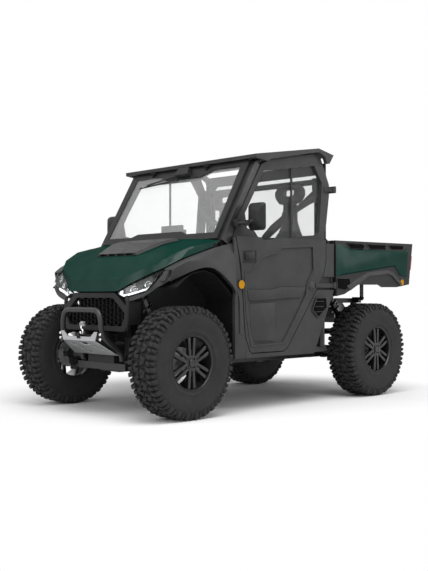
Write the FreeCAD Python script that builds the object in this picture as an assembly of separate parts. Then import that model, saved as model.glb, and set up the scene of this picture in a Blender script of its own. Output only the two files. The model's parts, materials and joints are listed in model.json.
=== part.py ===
import FreeCAD, Part
import math
import os

# Overall sizes, in millimetres. X points forward, Y to the left, Z up.
body_length = 3062.0
wheelbase = 2085.0
wheel_track = 1316.0
flare_half_width = 770.0
cab_half_width = 735.0
clearance = 8.0
seat_gap = 0.3
overrun = 20.0
round_sides = 8
slim_sides = 6

# Tyres and rims
tyre_diameter = 762.0
tyre_width = 254.0
tread_width = 216.0
bead_radius = 178.0
lug_depth = 16.0
tyre_lug_count = 14
tyre_groove_half = 10.0
rim_sides = 16
rim_width = 216.0
rim_wall = 9.0
rim_face_set = 34.0
spoke_depth = 26.0
spoke_width = 17.0
spoke_split = 17.0
spoke_count = 6
hub_radius = 46.0
hub_bore_radius = 16.3
hub_flange_thickness = 22.0
centre_cap_radius = 27.0
disc_radius = 104.0
disc_thickness = 6.0
disc_offset = 34.0

# Knuckles and steering
kingpin_half_track = 575.0
upright_half_height = 100.0
upright_width = 64.0
upright_depth = 40.0
kingpin_radius = 23.0
spindle_radius = 16.0
steering_lock_degrees = 30.0
steering_arm_reach = 75.0
steering_arm_drop = 35.0
steering_arm_width = 30.0
steering_arm_rise = 48.0
steering_arm_thickness = 18.0
tie_rod_radius = 11.0
tie_rod_gap = 6.0
rack_length = 440.0
rack_radius = 24.0
caliper_height = 90.0
caliper_depth = 54.0
caliper_gap = 6.0
caliper_bridge = 6.0
caliper_bracket = 36.0

# Suspension
arm_tube_diameter = 26.0
arm_end_size = 42.0
arm_foot_height = 44.0
lower_arm_drop = 96.0
upper_arm_rise = 96.0
arm_half_spread = 120.0
lower_arm_root_drop = 60.0
upper_arm_root_rise = 138.0
shock_spring_diameter = 84.0
shock_wire_diameter = 11.0
shock_body_diameter = 40.0
shock_rod_diameter = 18.0
shock_eye_diameter = 40.0
shock_eye_width = 34.0
shock_top_half_width = 330.0
shock_foot_half_width = 470.0
front_shock_top_height = 905.0
rear_shock_top_height = 850.0
shock_foot_setback = 64.0
front_shock_lean = 170.0
rear_shock_lean = 153.0
spring_turns = 5
spring_turn_sides = 6
spring_wire_sides = 4
spring_collar = 9.0
spring_start_height = 540.0
shock_ear_thickness = 8.0
half_shaft_diameter = 30.0
joint_boot_diameter = 84.0
joint_boot_length = 90.0

# Chassis frame of square tube
rail_size = 50.0
rail_half_width = 250.0
rail_bottom = 306.0
post_size = 40.0
frame_front_inset = 201.0
frame_rear_inset = 191.0
sill_half_width = 625.0
upper_rail_height = 800.0
bed_pivot_height = 800.0
bed_pivot_from_rear = 215.0
bed_pivot_radius = 10.0
bed_pivot_half_width = 330.0
pivot_ear_thickness = 12.0
gearcase_length = 260.0
gearcase_width = 220.0
gearcase_height = 190.0
engine_width = 400.0
engine_height = 430.0
muffler_radius = 88.0
muffler_length = 400.0
tailpipe_diameter = 44.0
receiver_inside = 51.0
receiver_wall = 7.0
receiver_length = 130.0
hitch_pin_radius = 8.0
hitch_drop = 14.0

# Cab: floor, pillars, doors and glass
cowl_setback = 315.0
cab_length = 1235.0
floor_height = 424.0
sill_bottom = 384.0
tub_wall = 10.0
tub_half_width = 636.0
cowl_height = 1240.0
belt_height = 1250.0
seat_base_height = 770.0
door_lower_thickness = 45.0
door_upper_thickness = 30.0
door_upper_inset = 30.0
door_length = 1079.0
door_setback = 23.0
door_top_drop = 39.0
door_bottom = 420.0
door_recess_depth = 7.0
door_swing_degrees = 75.0
door_pin_radius = 8.0
door_pin_back = 13.0
door_pin_out = 10.0
door_barrel_radius = 16.0
door_barrel_height = 34.0
hinge_ear_thickness = 9.0
strap_thickness = 7.0
lower_hinge_height = 906.0
upper_hinge_height = 1660.0
lower_strap_length = 220.0
upper_strap_length = 78.0
glass_thickness = 6.0
divider_width = 14.0
latch_length = 74.0
latch_height = 52.0
latch_recess = 9.0
cage_diameter = 50.0
cage_cross_diameter = 44.0
cage_half_width = 640.0
cage_bend = 90.0
pillar_width = 70.0
pillar_inner_half = 612.0
pillar_outer_half = 698.0
windshield_half_width = 658.0
windshield_rise = 588.0
windshield_run = 340.0
windshield_setback = 13.0
windshield_frame_depth = 22.0
windshield_border = 52.0
windshield_bump = 26.0
rear_wall_thickness = 16.0
rear_wall_half_width = 690.0
rear_window_border = 60.0
roof_skin = 14.0
roof_half_width = 745.0
roof_flange_width = 32.0
roof_length = 894.0
roof_front_rise = 30.0
roof_crown = 116.0
roof_gap = 9.0
side_panel_depth = 30.0
hex_pocket_depth = 24.0

# Seats, dash and controls
seat_centre = 370.0
seat_width = 470.0
seat_cushion_length = 450.0
seat_cushion_height = 110.0
seat_back_height = 765.0
seat_back_thickness = 78.0
seat_recline = 60.0
headrest_width = 300.0
headrest_height = 165.0
headrest_hole_width = 110.0
headrest_hole_height = 52.0
belt_width = 48.0
belt_thickness = 5.0
dash_depth = 250.0
dash_height = 235.0
display_width = 230.0
display_left = 60.0
display_height = 110.0
display_depth = 26.0
steering_wheel_radius = 180.0
steering_rim_diameter = 30.0
steering_wheel_sides = 18
steering_hub_radius = 46.0
steering_hub_depth = 34.0
steering_wheel_setback = 435.0
steering_wheel_offset = 345.0
column_slope_degrees = 38.0
column_radius = 22.0
column_length = 320.0
column_bore_radius = 9.3
steering_stub_radius = 9.0
steering_stub_length = 40.0

# Nose: hood, lamps, grille and fenders
nose_length = 568.0
nose_height = 383.0
hood_half_width = 700.0
hood_skin = 10.0
hood_pin_setback = 6.0
hood_pin_drop = 12.0
hood_pin_radius = 4.0
hood_lug_width = 30.0
hood_lug_length = 24.0
hood_lug_height = 12.0
hood_hinge_half_width = 300.0
panel_gap = 7.0
scoop_rise = 20.0
scoop_wall = 6.0
scoop_mouth_height = 13.0
scoop_slots = 4
lamp_depth = 62.0
fender_skin = 9.0
liner_skin = 8.0
liner_inner_half = 430.0
fascia_depth = 34.0
fascia_height = 267.0
fascia_half_width = 372.0
fascia_bar_width = 36.0
grille_depth = 16.0
grille_bar = 9.0
grille_bar_count = 5
grille_cell = 52.0
grille_cell_rows = 2
bull_bar_diameter = 38.0
bull_bar_half_width = 227.0
bull_bar_top = 729.0
bull_bar_setback = 33.0
bull_bar_foot_rise = 44.0
skid_thickness = 5.0
skid_top = 582.0
skid_bend_height = 518.0
skid_bottom = 416.0
skid_half_width = 213.0
skid_foot_half_width = 255.0
skid_foot_setback = 160.0
winch_drum_radius = 34.0
winch_end_radius = 52.0
winch_length = 300.0
winch_setback = 155.0
winch_height = 520.0
winch_foot_thickness = 10.0
rope_radius = 5.0
hook_thickness = 8.0
hook_width = 28.0
hook_height = 40.0
hook_hole = 12.0

# Cargo bed, tailgate and lamps
bed_gap = 13.0
bed_rear_inset = 29.0
bed_half_width = 740.0
bed_wall = 42.0
bed_side_bottom = 822.0
bed_side_height = 452.0
bed_floor_height = 972.0
bed_floor_thickness = 14.0
bed_cover_thickness = 6.0
tailgate_gap = 6.0
tailgate_half_width = 662.0
tailgate_hinge_height = 945.0
tailgate_pin_radius = 7.0
tailgate_pin_reach = 24.0
tailgate_foot_taper = 24.0
tail_lamp_height = 120.0
tail_lamp_depth = 14.0
tail_lamp_inset = 4.0

# Mirrors and wiper
mirror_width = 150.0
mirror_height = 190.0
mirror_thickness = 46.0
mirror_arm_diameter = 22.0
mirror_drop = 150.0
wiper_motor_length = 150.0
wiper_motor_height = 62.0
wiper_motor_depth = 44.0
wiper_arm_length = 330.0
wiper_arm_width = 10.0
wiper_blade_length = 420.0

# Shares of the doors' box, from the lower rear corner
door_lower_shares = [(1.0, 0.55), (0.954, 0.415), (0.923, 0.17), (0.913, 0.084), (0.871, 0.011),
                     (0.85, 0.0), (0.536, 0.0), (0.496, 0.015), (0.184, 0.299), (0.098, 0.384),
                     (0.073, 0.451), (0.072, 0.558)]
door_upper_shares = [(0.072, 0.54), (1.0, 0.54), (0.957, 0.636), (0.727, 0.908), (0.656, 0.93),
                     (0.161, 1.0),
                     (0.097, 0.983), (0.0, 0.85), (0.0, 0.792), (0.032, 0.643), (0.072, 0.558)]
door_window_shares = [(0.705, 0.875), (0.169, 0.938), (0.082, 0.853), (0.114, 0.597), (0.15, 0.577),
                      (0.741, 0.538), (0.796, 0.58), (0.87, 0.593), (0.89, 0.663)]
door_recess_shares = [(0.913, 0.385), (0.84, 0.396), (0.734, 0.463), (0.591, 0.479), (0.558, 0.504),
                      (0.233, 0.52), (0.208, 0.504), (0.215, 0.404), (0.286, 0.326), (0.292, 0.277),
                      (0.552, 0.036), (0.829, 0.038)]
door_divider_share = 0.405
door_latch_shares = (0.861, 0.464)

# Shares of the nose box, from the cowl's foot: half width, then rear, two middle, crease and edge points
hood_section_shares = [(0.0, (0.0, 1.0), (0.308, 0.883), (0.653, 0.653), (0.967, 0.217), (1.0, 0.0)),
                       (0.393, (0.0, 1.0), (0.308, 0.883), (0.653, 0.653), (0.967, 0.217),
                        (0.995, 0.008)),
                       (0.537, (0.0, 0.995), (0.29, 0.87), (0.625, 0.648), (0.9, 0.316), (0.921, 0.162)),
                       (0.734, (0.0, 0.975), (0.29, 0.838), (0.59, 0.648), (0.806, 0.465),
                        (0.803, 0.332)),
                       (0.857, (0.0, 0.96), (0.29, 0.822), (0.5, 0.726), (0.657, 0.627), (0.718, 0.436)),
                       (0.936, (0.0, 0.945), (0.167, 0.882), (0.29, 0.843), (0.4, 0.804), (0.558, 0.582)),
                       (1.0, (0.0, 0.93), (0.035, 0.916), (0.08, 0.903), (0.123, 0.89), (0.123, 0.807))]
# The lamp: half width, then its lower front and upper front points in the nose box
lamp_section_shares = [(0.386, (0.98, -0.02), (0.978, 0.0)), (0.48, (0.975, -0.1), (0.952, 0.085)),
                       (0.59, (0.915, -0.05), (0.87, 0.2)), (0.72, (0.882, 0.01), (0.805, 0.3)),
                       (0.806, (0.875, 0.125), (0.752, 0.372)), (0.85, (0.8, 0.31), (0.705, 0.415))]
# The fender's band under the lamp: upper and lower points as shares of nose length, half width, nose height
lamp_band_shares = [((0.97, 0.485, -0.128), (0.96, 0.495, -0.19)),
                    ((0.91, 0.59, -0.0536), (0.935, 0.6, -0.15)),
                    ((0.88, 0.72, -0.012), (0.907, 0.743, -0.073)),
                    ((0.874, 0.812, 0.1), (0.85, 0.857, 0.076)),
                    ((0.81, 0.853, 0.25), (0.8, 0.888, 0.12)), ((0.7, 0.866, 0.4), (0.7, 0.965, 0.25))]
# The flare from front to rear, from the axle in tyre radii: place, then shoulder, ridge and edge as
# shares of the flare's half width and of the tyre's radius
flare_shares = [(0.28, (0.845, 1.69), (0.896, 1.695), (0.858, 1.42)),
                (0.005, (0.909, 1.83), (0.945, 1.806), (0.945, 1.585)),
                (-0.283, (0.938, 1.913), (0.974, 1.845), (0.99, 1.693)),
                (-0.559, (0.945, 1.953), (0.992, 1.787), (1.0, 1.677)),
                (-0.787, (0.951, 1.99), (0.997, 1.625), (1.0, 1.525)),
                (-1.031, (0.955, 1.966), (0.995, 1.428), (0.996, 1.349)),
                (-1.142, (0.955, 1.887), (0.977, 1.27), (0.977, 1.21))]
# The liner's outer line from the axle in tyre radii
liner_shares = [(0.26, 1.34), (0.08, 1.48), (-0.12, 1.59), (-0.41, 1.64), (-0.65, 1.57), (-0.86, 1.41),
                (-1.03, 1.27), (-1.145, 1.13), (-1.155, 0.5), (-1.16, 0.07)]

# The skid plate's slots: corners as shares of the apron's depth from its foot and of its half width
skid_slot_shares = [[(0.62, -0.66), (0.86, -0.74), (0.86, -0.65), (0.62, -0.57)],
                    [(0.4, -0.46), (0.86, -0.6), (0.86, -0.51), (0.4, -0.37)],
                    [(0.2, -0.28), (0.66, -0.42), (0.66, -0.33), (0.2, -0.19)],
                    [(0.14, -0.13), (0.34, -0.19), (0.34, -0.1), (0.14, -0.04)],
                    [(0.74, 0.02), (0.92, -0.1), (0.92, 0.3), (0.74, 0.36)],
                    [(0.6, 0.46), (0.88, 0.4), (0.88, 0.46), (0.6, 0.52)],
                    [(0.5, 0.58), (0.78, 0.52), (0.78, 0.58), (0.5, 0.64)],
                    [(0.38, 0.7), (0.68, 0.64), (0.68, 0.7), (0.38, 0.76)],
                    [(0.28, 0.82), (0.56, 0.76), (0.56, 0.82), (0.28, 0.88)]]

# The bed's side: shares of its length from the rear and of its height from its lowest point
bed_side_shares = [(0.003, 1.0), (1.0, 0.976), (0.986, 0.0), (0.893, 0.035), (0.724, 0.204),
                   (0.429, 0.208),
                   (0.381, 0.162), (0.226, 0.164), (0.053, 0.219), (0.04, 0.454)]
bed_cover_shares = [(0.996, 0.903), (0.885, 0.914), (0.82, 0.821), (0.141, 0.876), (0.125, 0.929),
                    (0.073, 0.927),
                    (0.1, 0.367), (0.176, 0.365), (0.259, 0.571), (0.438, 0.504), (0.996, 0.354)]
bed_slot_shares = [[(0.881, 0.942), (0.669, 0.938), (0.665, 0.838), (0.82, 0.828)],
                   [(0.617, 0.938), (0.376, 0.947), (0.369, 0.863), (0.583, 0.845)],
                   [(0.32, 0.947), (0.133, 0.951), (0.15, 0.88), (0.291, 0.869)]]
hex_pocket_shares = [(0.79, 0.69), (0.6, 0.88), (0.31, 0.88), (0.3, 0.72), (0.53, 0.57), (0.66, 0.58)]

# Places worked out from the sizes above
tyre_radius = tyre_diameter / 2
axle_height = tyre_radius
tyre_sides = tyre_lug_count * 2
wheel_half_track = wheel_track / 2
front_axle_x = body_length / 2 - tyre_radius
rear_axle_x = front_axle_x - wheelbase
cowl_x = front_axle_x - cowl_setback
nose_x = cowl_x + nose_length
windshield_base_x = cowl_x - windshield_setback
steering_wheel_x = cowl_x - steering_wheel_setback
steering_wheel_height = cowl_height
nose_low = cowl_height - nose_height
cab_rear_x = cowl_x - cab_length
door_rear_x = cab_rear_x + door_setback
bed_front_x = cab_rear_x - bed_gap
bed_rear_x = -body_length / 2 + bed_rear_inset
bed_side_length = bed_front_x - bed_rear_x
roof_front_height = cowl_height - clearance + windshield_rise + roof_front_rise
roof_height = roof_front_height + roof_crown
door_height = roof_height - door_top_drop - door_bottom
frame_front_x = body_length / 2 - frame_front_inset
frame_rear_x = frame_rear_inset - body_length / 2
bull_bar_front = body_length / 2 - bull_bar_setback
skid_foot_x = body_length / 2 - skid_foot_setback
winch_x = body_length / 2 - winch_setback
rail_top = rail_bottom + rail_size
sill_top = sill_bottom + post_size
hoop_x = cab_rear_x + rear_wall_thickness + cage_diameter / 2
bed_pivot_x = bed_rear_x + bed_pivot_from_rear
bed_inner_half = bed_half_width - bed_wall
muffler_x = frame_rear_x + post_size * 2 + muffler_radius
door_pin_x = door_rear_x - door_pin_back
door_pin_y = cab_half_width + door_pin_out
column_slope = math.radians(column_slope_degrees)


def V(x, y, z):
    """A point or a direction."""
    return FreeCAD.Vector(x, y, z)


def spots(x0, z0, length, height, shares):
    """Points of an outline, from shares of its box."""
    return [(x0 + length * u, z0 + height * w) for u, w in shares]


def block(x0, x1, y0, y1, z0, z1):
    """A box between two opposite corners."""
    return Part.makeBox(x1 - x0, y1 - y0, z1 - z0, V(x0, y0, z0))


def side_face(points, y):
    """A flat face from points (x, z), standing at y."""
    return polygon_face([V(x, y, z) for x, z in points])


def side_prism(points, y0, y1):
    """A side outline (x, z), made thick across the vehicle."""
    return side_face(points, y0).extrude(V(0, y1 - y0, 0))


def grown_prism(points, gap, y0, y1):
    """A side outline grown by a gap all round and made thick."""
    grown = side_face(points, y0).makeOffset2D(gap, 2)
    return grown.extrude(V(0, y1 - y0, 0))


def front_prism(points, x0, x1):
    """A front outline (y, z), made thick along the vehicle."""
    return polygon_face([V(x0, y, z) for y, z in points]).extrude(V(x1 - x0, 0, 0))


def plan_prism(points, z0, z1):
    """An outline seen from above (x, y), made thick upwards."""
    return polygon_face([V(x, y, z0) for x, y in points]).extrude(V(0, 0, z1 - z0))


def both_ways(points):
    """A half outline (y, z) closed by its own mirror image."""
    return points + [(-y, z) for y, z in reversed(points)]


def mirrored(shape):
    """The same shape on the other side of the vehicle."""
    return shape.mirror(V(0, 0, 0), V(0, 1, 0))


def pair(shape):
    """A shape and its mirror image, apart from each other."""
    return Part.makeCompound([shape, mirrored(shape)])


def joined(shapes):
    """Overlapping or touching shapes as one."""
    return shapes[0].fuse(shapes[1:]).removeSplitter()


def rod(start, end, radius):
    """A round bar between two points."""
    run = end - start
    return Part.makeCylinder(radius, run.Length, start, run)


def bar(start, end, size):
    """A square bar between two points that share an X or a Y and a Z."""
    half = size / 2
    low = [min(start[i], end[i]) - half for i in range(3)]
    high = [max(start[i], end[i]) + half for i in range(3)]
    return block(low[0], high[0], low[1], high[1], low[2], high[2])


def bent_tube(points, diameter, sides, bend=0.0):
    """A tube with flat sides along straight runs, each corner mitred or cut by a bend's length."""
    stops = [points[0]]
    for before, corner, after in zip(points, points[1:], points[2:]):
        if bend:
            stops.append(corner + (before - corner).normalize() * bend)
            stops.append(corner + (after - corner).normalize() * bend)
        else:
            stops.append(corner)
    stops.append(points[-1])
    section = polygon_round(stops[0], stops[1] - stops[0], diameter / 2, sides)
    faces = [polygon_face(section)]
    for number in range(1, len(stops)):
        run = (stops[number] - stops[number - 1]).normalize()
        onward = (stops[min(number + 1, len(stops) - 1)] - stops[number])
        mitre = run + onward.normalize() if onward.Length else run
        ahead = [spot + run * ((stops[number] - spot).dot(mitre) / run.dot(mitre)) for spot in section]
        for a, b, c, d in zip(section, section[1:] + section[:1], ahead[1:] + ahead[:1], ahead):
            faces.append(polygon_face([a, b, c, d]))
        section = ahead
    faces.append(polygon_face(section))
    return closed(faces)


def closed(faces):
    """A solid closed by flat faces."""
    shell = Part.Shell(faces)
    shell.sewShape()
    solid = Part.Solid(shell)
    return solid if solid.Volume > 0 else solid.reversed()


def polygon_face(corners):
    """A flat face between corners."""
    return Part.Face(Part.makePolygon(corners + corners[:1]))


def faceted(outline, sides, centre, axis, upward):
    """A ring with flat sides, from a closed outline (distance to a flat, along) about an axis."""
    across = axis.cross(upward)
    grow = 1 / math.cos(math.pi / sides)
    rows = []
    for number in range(sides):
        angle = math.pi * (2 * number + 1) / sides
        way = (upward * math.cos(angle) + across * math.sin(angle)) * grow
        rows.append([centre + way * radius + axis * along for radius, along in outline])
    faces = []
    for near, far in zip(rows, rows[1:] + rows[:1]):
        for a, b, c, d in zip(near, near[1:] + near[:1], far[1:] + far[:1], far):
            faces.append(polygon_face([a, b, c, d]))
    return closed(faces)


def skin(sections):
    """A solid of flat facets through closed lists of points, with flat ends."""
    faces = [polygon_face(sections[0]), polygon_face(sections[-1])]
    for near, far in zip(sections, sections[1:]):
        for a, b, c, d in zip(near, near[1:] + near[:1], far[1:] + far[:1], far):
            faces.append(polygon_face([a, b, c]))
            faces.append(polygon_face([a, c, d]))
    return closed(faces)


def polygon_round(centre, axis, radius, sides):
    """The corners of a polygon about an axis, with its flats at the radius."""
    guide = V(0, 0, 1) if abs(axis.z) < axis.Length / 2 else V(1, 0, 0)
    across = axis.cross(guide).normalize()
    upward = across.cross(axis).normalize()
    reach = radius / math.cos(math.pi / sides)
    corners = []
    for number in range(sides):
        angle = math.pi * (2 * number + 1) / sides
        corners.append(centre + upward * (reach * math.cos(angle)) + across * (reach * math.sin(angle)))
    return corners


def flat_rod(start, end, radius, sides):
    """A straight bar with flat sides between two points."""
    return polygon_face(polygon_round(start, end - start, radius, sides)).extrude(end - start)


def turned(points, centre_x, centre_z, steps, count):
    """An outline (x, z) turned about a centre, so many steps of a circle."""
    angle = 2 * math.pi * steps / count
    cosine = math.cos(angle)
    sine = math.sin(angle)
    return [(centre_x + (x - centre_x) * cosine - (z - centre_z) * sine,
             centre_z + (x - centre_x) * sine + (z - centre_z) * cosine) for x, z in points]


def door_outline(shares):
    """Part of the door's side outline."""
    return spots(door_rear_x, door_bottom, door_length, door_height, shares)


def hood_point(share):
    """A point (x, z) in the nose box."""
    return cowl_x + nose_length * share[0], nose_low + nose_height * share[1]


def hood_edge(x):
    """The hood's lower side edge (y, z) at a place along the vehicle."""
    stations = [(hood_point(row[5]), hood_half_width * row[0]) for row in hood_section_shares[4:]]
    for ((x0, z0), y0), ((x1, z1), y1) in zip(stations, stations[1:]):
        if x > x1:
            part = (x0 - x) / (x0 - x1)
            return y0 + (y1 - y0) * part, z0 + (z1 - z0) * part
    (x1, z1), y1 = stations[-1]
    return y1, z1 + (x1 - x) * nose_height / nose_length / 3


# Wheels

def tyre_spot(x, y, number, way, spot):
    """A point (distance to a flat, across) of the tyre's section, at the edge after a numbered sector."""
    radius, across = spot
    angle = math.pi * (2 * number + 1) / tyre_sides
    reach = radius / math.cos(math.pi / tyre_sides)
    return V(x + reach * math.sin(angle), y + way * across, axle_height + reach * math.cos(angle))


def strip(x, y, number, way, line):
    """One sector of the tyre's outside, along a line of section points."""
    faces = []
    for near, far in zip(line, line[1:]):
        corners = [tyre_spot(x, y, number - 1, way, near), tyre_spot(x, y, number - 1, way, far),
                   tyre_spot(x, y, number, way, far), tyre_spot(x, y, number, way, near)]
        faces.append(polygon_face(corners))
    return faces


def bridge(x, y, number, spot):
    """One sector of a flat strip from a point of the section to its mirror image."""
    return polygon_face([tyre_spot(x, y, number - 1, -1, spot), tyre_spot(x, y, number - 1, 1, spot),
                         tyre_spot(x, y, number, 1, spot), tyre_spot(x, y, number, -1, spot)])


def tyre(x, y):
    """A low-pressure tyre with lugs that stagger left and right of its middle groove."""
    side = tyre_width / 2
    bead = (bead_radius, rim_width / 2)
    wall = (bead_radius + side * 0.9, side)
    high = [(tyre_radius - lug_depth, tread_width / 2), (tyre_radius, tread_width / 3),
            (tyre_radius, tyre_groove_half)]
    low = [(radius - lug_depth, across) for radius, across in high]
    faces = []
    for number in range(tyre_sides):
        for way in (-1, 1):
            raised = (number % 2 == 0) == (way > 0)
            line = [bead, wall] + (high + low[-1:] if raised else low)
            faces = faces + strip(x, y, number, way, line)
            faces.append(polygon_face([tyre_spot(x, y, number, way, spot)
                                       for spot in [wall] + high + low[::-1]]))
        faces = faces + [bridge(x, y, number, low[-1]), bridge(x, y, number, bead)]
    return closed(faces)


def rim(x, side):
    """A cast wheel with split spokes, its hub and its brake disc."""
    axis = V(0, 1, 0)
    up = V(0, 0, 1)
    half = rim_width / 2
    outer = (bead_radius - seat_gap) * math.cos(math.pi / rim_sides)
    middle = V(x, wheel_half_track, axle_height)
    barrel = faceted([(outer, -half), (outer - rim_wall, -half), (outer - rim_wall, half), (outer, half)],
                     rim_sides, middle, axis, up)
    face_y = wheel_half_track + half - rim_face_set
    front_y = face_y + spoke_depth
    hub_y = kingpin_half_track + upright_depth / 2 + clearance
    reach = outer - rim_wall / 2
    spokes = []
    for step in range(spoke_count):
        for lean in (-1, 1):
            root = x + lean * spoke_split / 2
            tip = x + lean * spoke_split * 1.5
            outline = [(root - spoke_width / 2, axle_height + hub_radius / 2),
                       (root + spoke_width / 2, axle_height + hub_radius / 2),
                       (tip + spoke_width / 2, axle_height + reach),
                       (tip - spoke_width / 2, axle_height + reach)]
            spokes.append(side_prism(turned(outline, x, axle_height, step, spoke_count), face_y, front_y))
    hub = flat_rod(V(x, hub_y, axle_height), V(x, front_y, axle_height), hub_radius, round_sides)
    cap_y = front_y + hub_flange_thickness / 2
    cap = flat_rod(V(x, front_y, axle_height), V(x, cap_y, axle_height), centre_cap_radius, round_sides)
    disc_flat = disc_radius * math.cos(math.pi / round_sides)
    disc = faceted([(hub_radius - disc_thickness, 0), (disc_flat, 0), (disc_flat, disc_thickness),
                    (hub_radius - disc_thickness, disc_thickness)],
                   round_sides, V(x, hub_y + disc_offset, axle_height), axis, up)
    room = flat_rod(V(x, hub_y - overrun, axle_height), V(x, face_y, axle_height), hub_bore_radius,
                    round_sides)
    wheel = joined([barrel, hub, cap, disc] + spokes).cut(room)
    return wheel if side > 0 else mirrored(wheel)


def upright(x, steered):
    """A knuckle: upright, spindle and brake caliper, with a steering arm where it is steered."""
    y = kingpin_half_track
    half = upright_depth / 2
    half_width = upright_width / 2
    low = axle_height - lower_arm_drop + arm_foot_height / 2 + seat_gap
    high = axle_height + upper_arm_rise - arm_foot_height / 2 - seat_gap
    body = block(x - half_width, x + half_width, y - half, y + half, low, high)
    tip_y = wheel_half_track + rim_width / 2 - rim_face_set - clearance
    spindle = rod(V(x, y, axle_height), V(x, tip_y, axle_height), spindle_radius)
    disc_y = y + half + clearance + disc_offset
    slot_low = disc_y - caliper_gap
    slot_high = disc_y + disc_thickness + caliper_gap
    outer_x = x + disc_radius + caliper_gap + caliper_bridge
    inner_x = outer_x - caliper_depth
    rise = caliper_height / 2
    caliper = block(inner_x, outer_x, slot_low - caliper_gap * 2, slot_high + caliper_gap * 2,
                    axle_height - rise, axle_height + rise)
    slot = block(inner_x - overrun, outer_x - caliper_bridge, slot_low, slot_high,
                 axle_height - rise - overrun, axle_height + rise + overrun)
    grip = caliper_bracket / 2
    stay = block(x, inner_x + clearance, y - half / 2, y + half, axle_height - grip, axle_height + grip)
    reach = block(inner_x, inner_x + clearance, y, slot_low, axle_height - grip, axle_height + grip)
    shapes = [body, spindle, caliper.cut(slot), stay, reach]
    if steered:
        shapes.append(rod(V(x, y, low), V(x, y, high), kingpin_radius))
        arm_low = axle_height + steering_arm_rise
        arm_high = arm_low + steering_arm_thickness
        half_arm = steering_arm_width / 2
        arm_y = y - steering_arm_drop
        shapes.append(block(x - steering_arm_reach - half_arm, x, arm_y - half_arm, arm_y + half_arm,
                            arm_low, arm_high))
        shapes.append(block(x - half_width, x, arm_y - half_arm, y, arm_low, arm_high))
    return joined(shapes)


def rear_knuckles():
    """The uprights that carry the rear wheels."""
    return pair(upright(rear_axle_x, False))


# Suspension

def arm_place(x, y, way, foot_height, root_height):
    """A point on the middle line of a control arm's leg, at so far from the vehicle's middle."""
    root_y = arm_root_y()
    share = (y - root_y) / (kingpin_half_track - root_y)
    return V(x + way * arm_half_spread * (1 - share), y,
             root_height + (foot_height - root_height) * share)


def arm_root_y():
    """How far from the middle the arms' bushings stand, beside the frame's rails."""
    return rail_half_width + rail_size / 2 + seat_gap + arm_end_size / 2


def lower_arm_heights():
    """The lower arm's heights at its ball joint and at its bushings."""
    return axle_height - lower_arm_drop, axle_height - lower_arm_root_drop


def control_arm(x, foot_height, root_height):
    """A pair of tubes that meet at the ball joint, seen from above as a letter A."""
    half = arm_end_size / 2
    foot = V(x, kingpin_half_track, foot_height)
    shapes = [block(x - half, x + half, foot.y - half, foot.y + half,
                    foot_height - arm_foot_height / 2, foot_height + arm_foot_height / 2)]
    for way in (-1, 1):
        root = arm_place(x, arm_root_y(), way, foot_height, root_height)
        shapes.append(flat_rod(root, foot, arm_tube_diameter / 2, slim_sides))
        shapes.append(block(root.x - half, root.x + half, root.y - half, root.y + half,
                            root_height - half, root_height + half))
    return joined(shapes)


def shock_foot(x):
    """The middle of a shock absorber's lower eye, over the lower arm's rear leg."""
    spot = arm_place(x, shock_foot_half_width, -1, *lower_arm_heights())
    return V(x - shock_foot_setback, shock_foot_half_width,
             spot.z + arm_tube_diameter * 0.59 + seat_gap + shock_eye_diameter / 2)


def shock_top(x, height):
    """The middle of a shock absorber's upper eye."""
    foot = shock_foot(x)
    lean = front_shock_lean if x > 0 else rear_shock_lean
    return V(foot.x + lean, shock_top_half_width, height)


def shock_seat(x):
    """The bracket of two ears on the lower arm that holds a shock absorber's eye."""
    eye = shock_foot(x)
    half = shock_eye_width / 2 + seat_gap
    radius = shock_eye_diameter / 2
    base_top = eye.z - radius - seat_gap
    rear = eye.x - half - shock_ear_thickness
    front = eye.x + half + shock_ear_thickness
    base = block(rear, front, eye.y - radius, eye.y + radius, base_top - arm_tube_diameter, base_top)
    ears = [block(rear, eye.x - half, eye.y - radius, eye.y + radius, base_top, eye.z + radius / 2),
            block(eye.x + half, front, eye.y - radius, eye.y + radius, base_top, eye.z + radius / 2)]
    return [base] + ears


def suspension_arms():
    """Upper and lower control arms of all four wheels."""
    arms = []
    for x in (front_axle_x, rear_axle_x):
        lower = joined([control_arm(x, *lower_arm_heights())] + shock_seat(x))
        upper = control_arm(x, axle_height + upper_arm_rise, axle_height + upper_arm_root_rise)
        arms = arms + [lower, mirrored(lower), upper, mirrored(upper)]
    return Part.makeCompound(arms)


def coil(start, end, radius):
    """A coil spring with flat sides between two points."""
    run = end - start
    length = run.Length
    run.normalize()
    across = V(0, 1, 0).cross(run).normalize()
    upward = run.cross(across)
    steps = spring_turns * spring_turn_sides
    sections = []
    for number in range(steps + 1):
        angle = 2 * math.pi * number / spring_turn_sides
        outward = across * math.cos(angle) + upward * math.sin(angle)
        tangent = (upward * math.cos(angle) - across * math.sin(angle)) * (radius * 2 * math.pi
                                                                           * spring_turns) + run * length
        centre = start + run * (length * number / steps) + outward * radius
        sections.append(polygon_round(centre, tangent, shock_wire_diameter / 2, spring_wire_sides))
    return skin(sections)


def shock(foot, top):
    """A coil-over shock absorber between its two eyes, and its spring."""
    run = top - foot
    start = foot + run * ((spring_start_height - foot.z) / run.z)
    run.normalize()
    end = top - run * shock_eye_diameter
    wide = shock_spring_diameter / 2
    collars = [flat_rod(spot - run * spring_collar / 2, spot + run * spring_collar / 2, wide, slim_sides)
               for spot in (start, end)]
    body = flat_rod(foot + run * (shock_eye_diameter * 0.6), end, shock_body_diameter / 2, slim_sides)
    shaft = flat_rod(foot, top, shock_rod_diameter / 2, slim_sides)
    half = V(shock_eye_width / 2, 0, 0)
    eyes = [flat_rod(spot - half, spot + half, shock_eye_diameter / 2, slim_sides)
            for spot in (top, foot)]
    inset = run * (spring_collar / 2 + shock_wire_diameter / 2 + seat_gap)
    return [joined([body, shaft] + collars + eyes),
            coil(start + inset, end - inset, wide - shock_wire_diameter / 2)]


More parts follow.
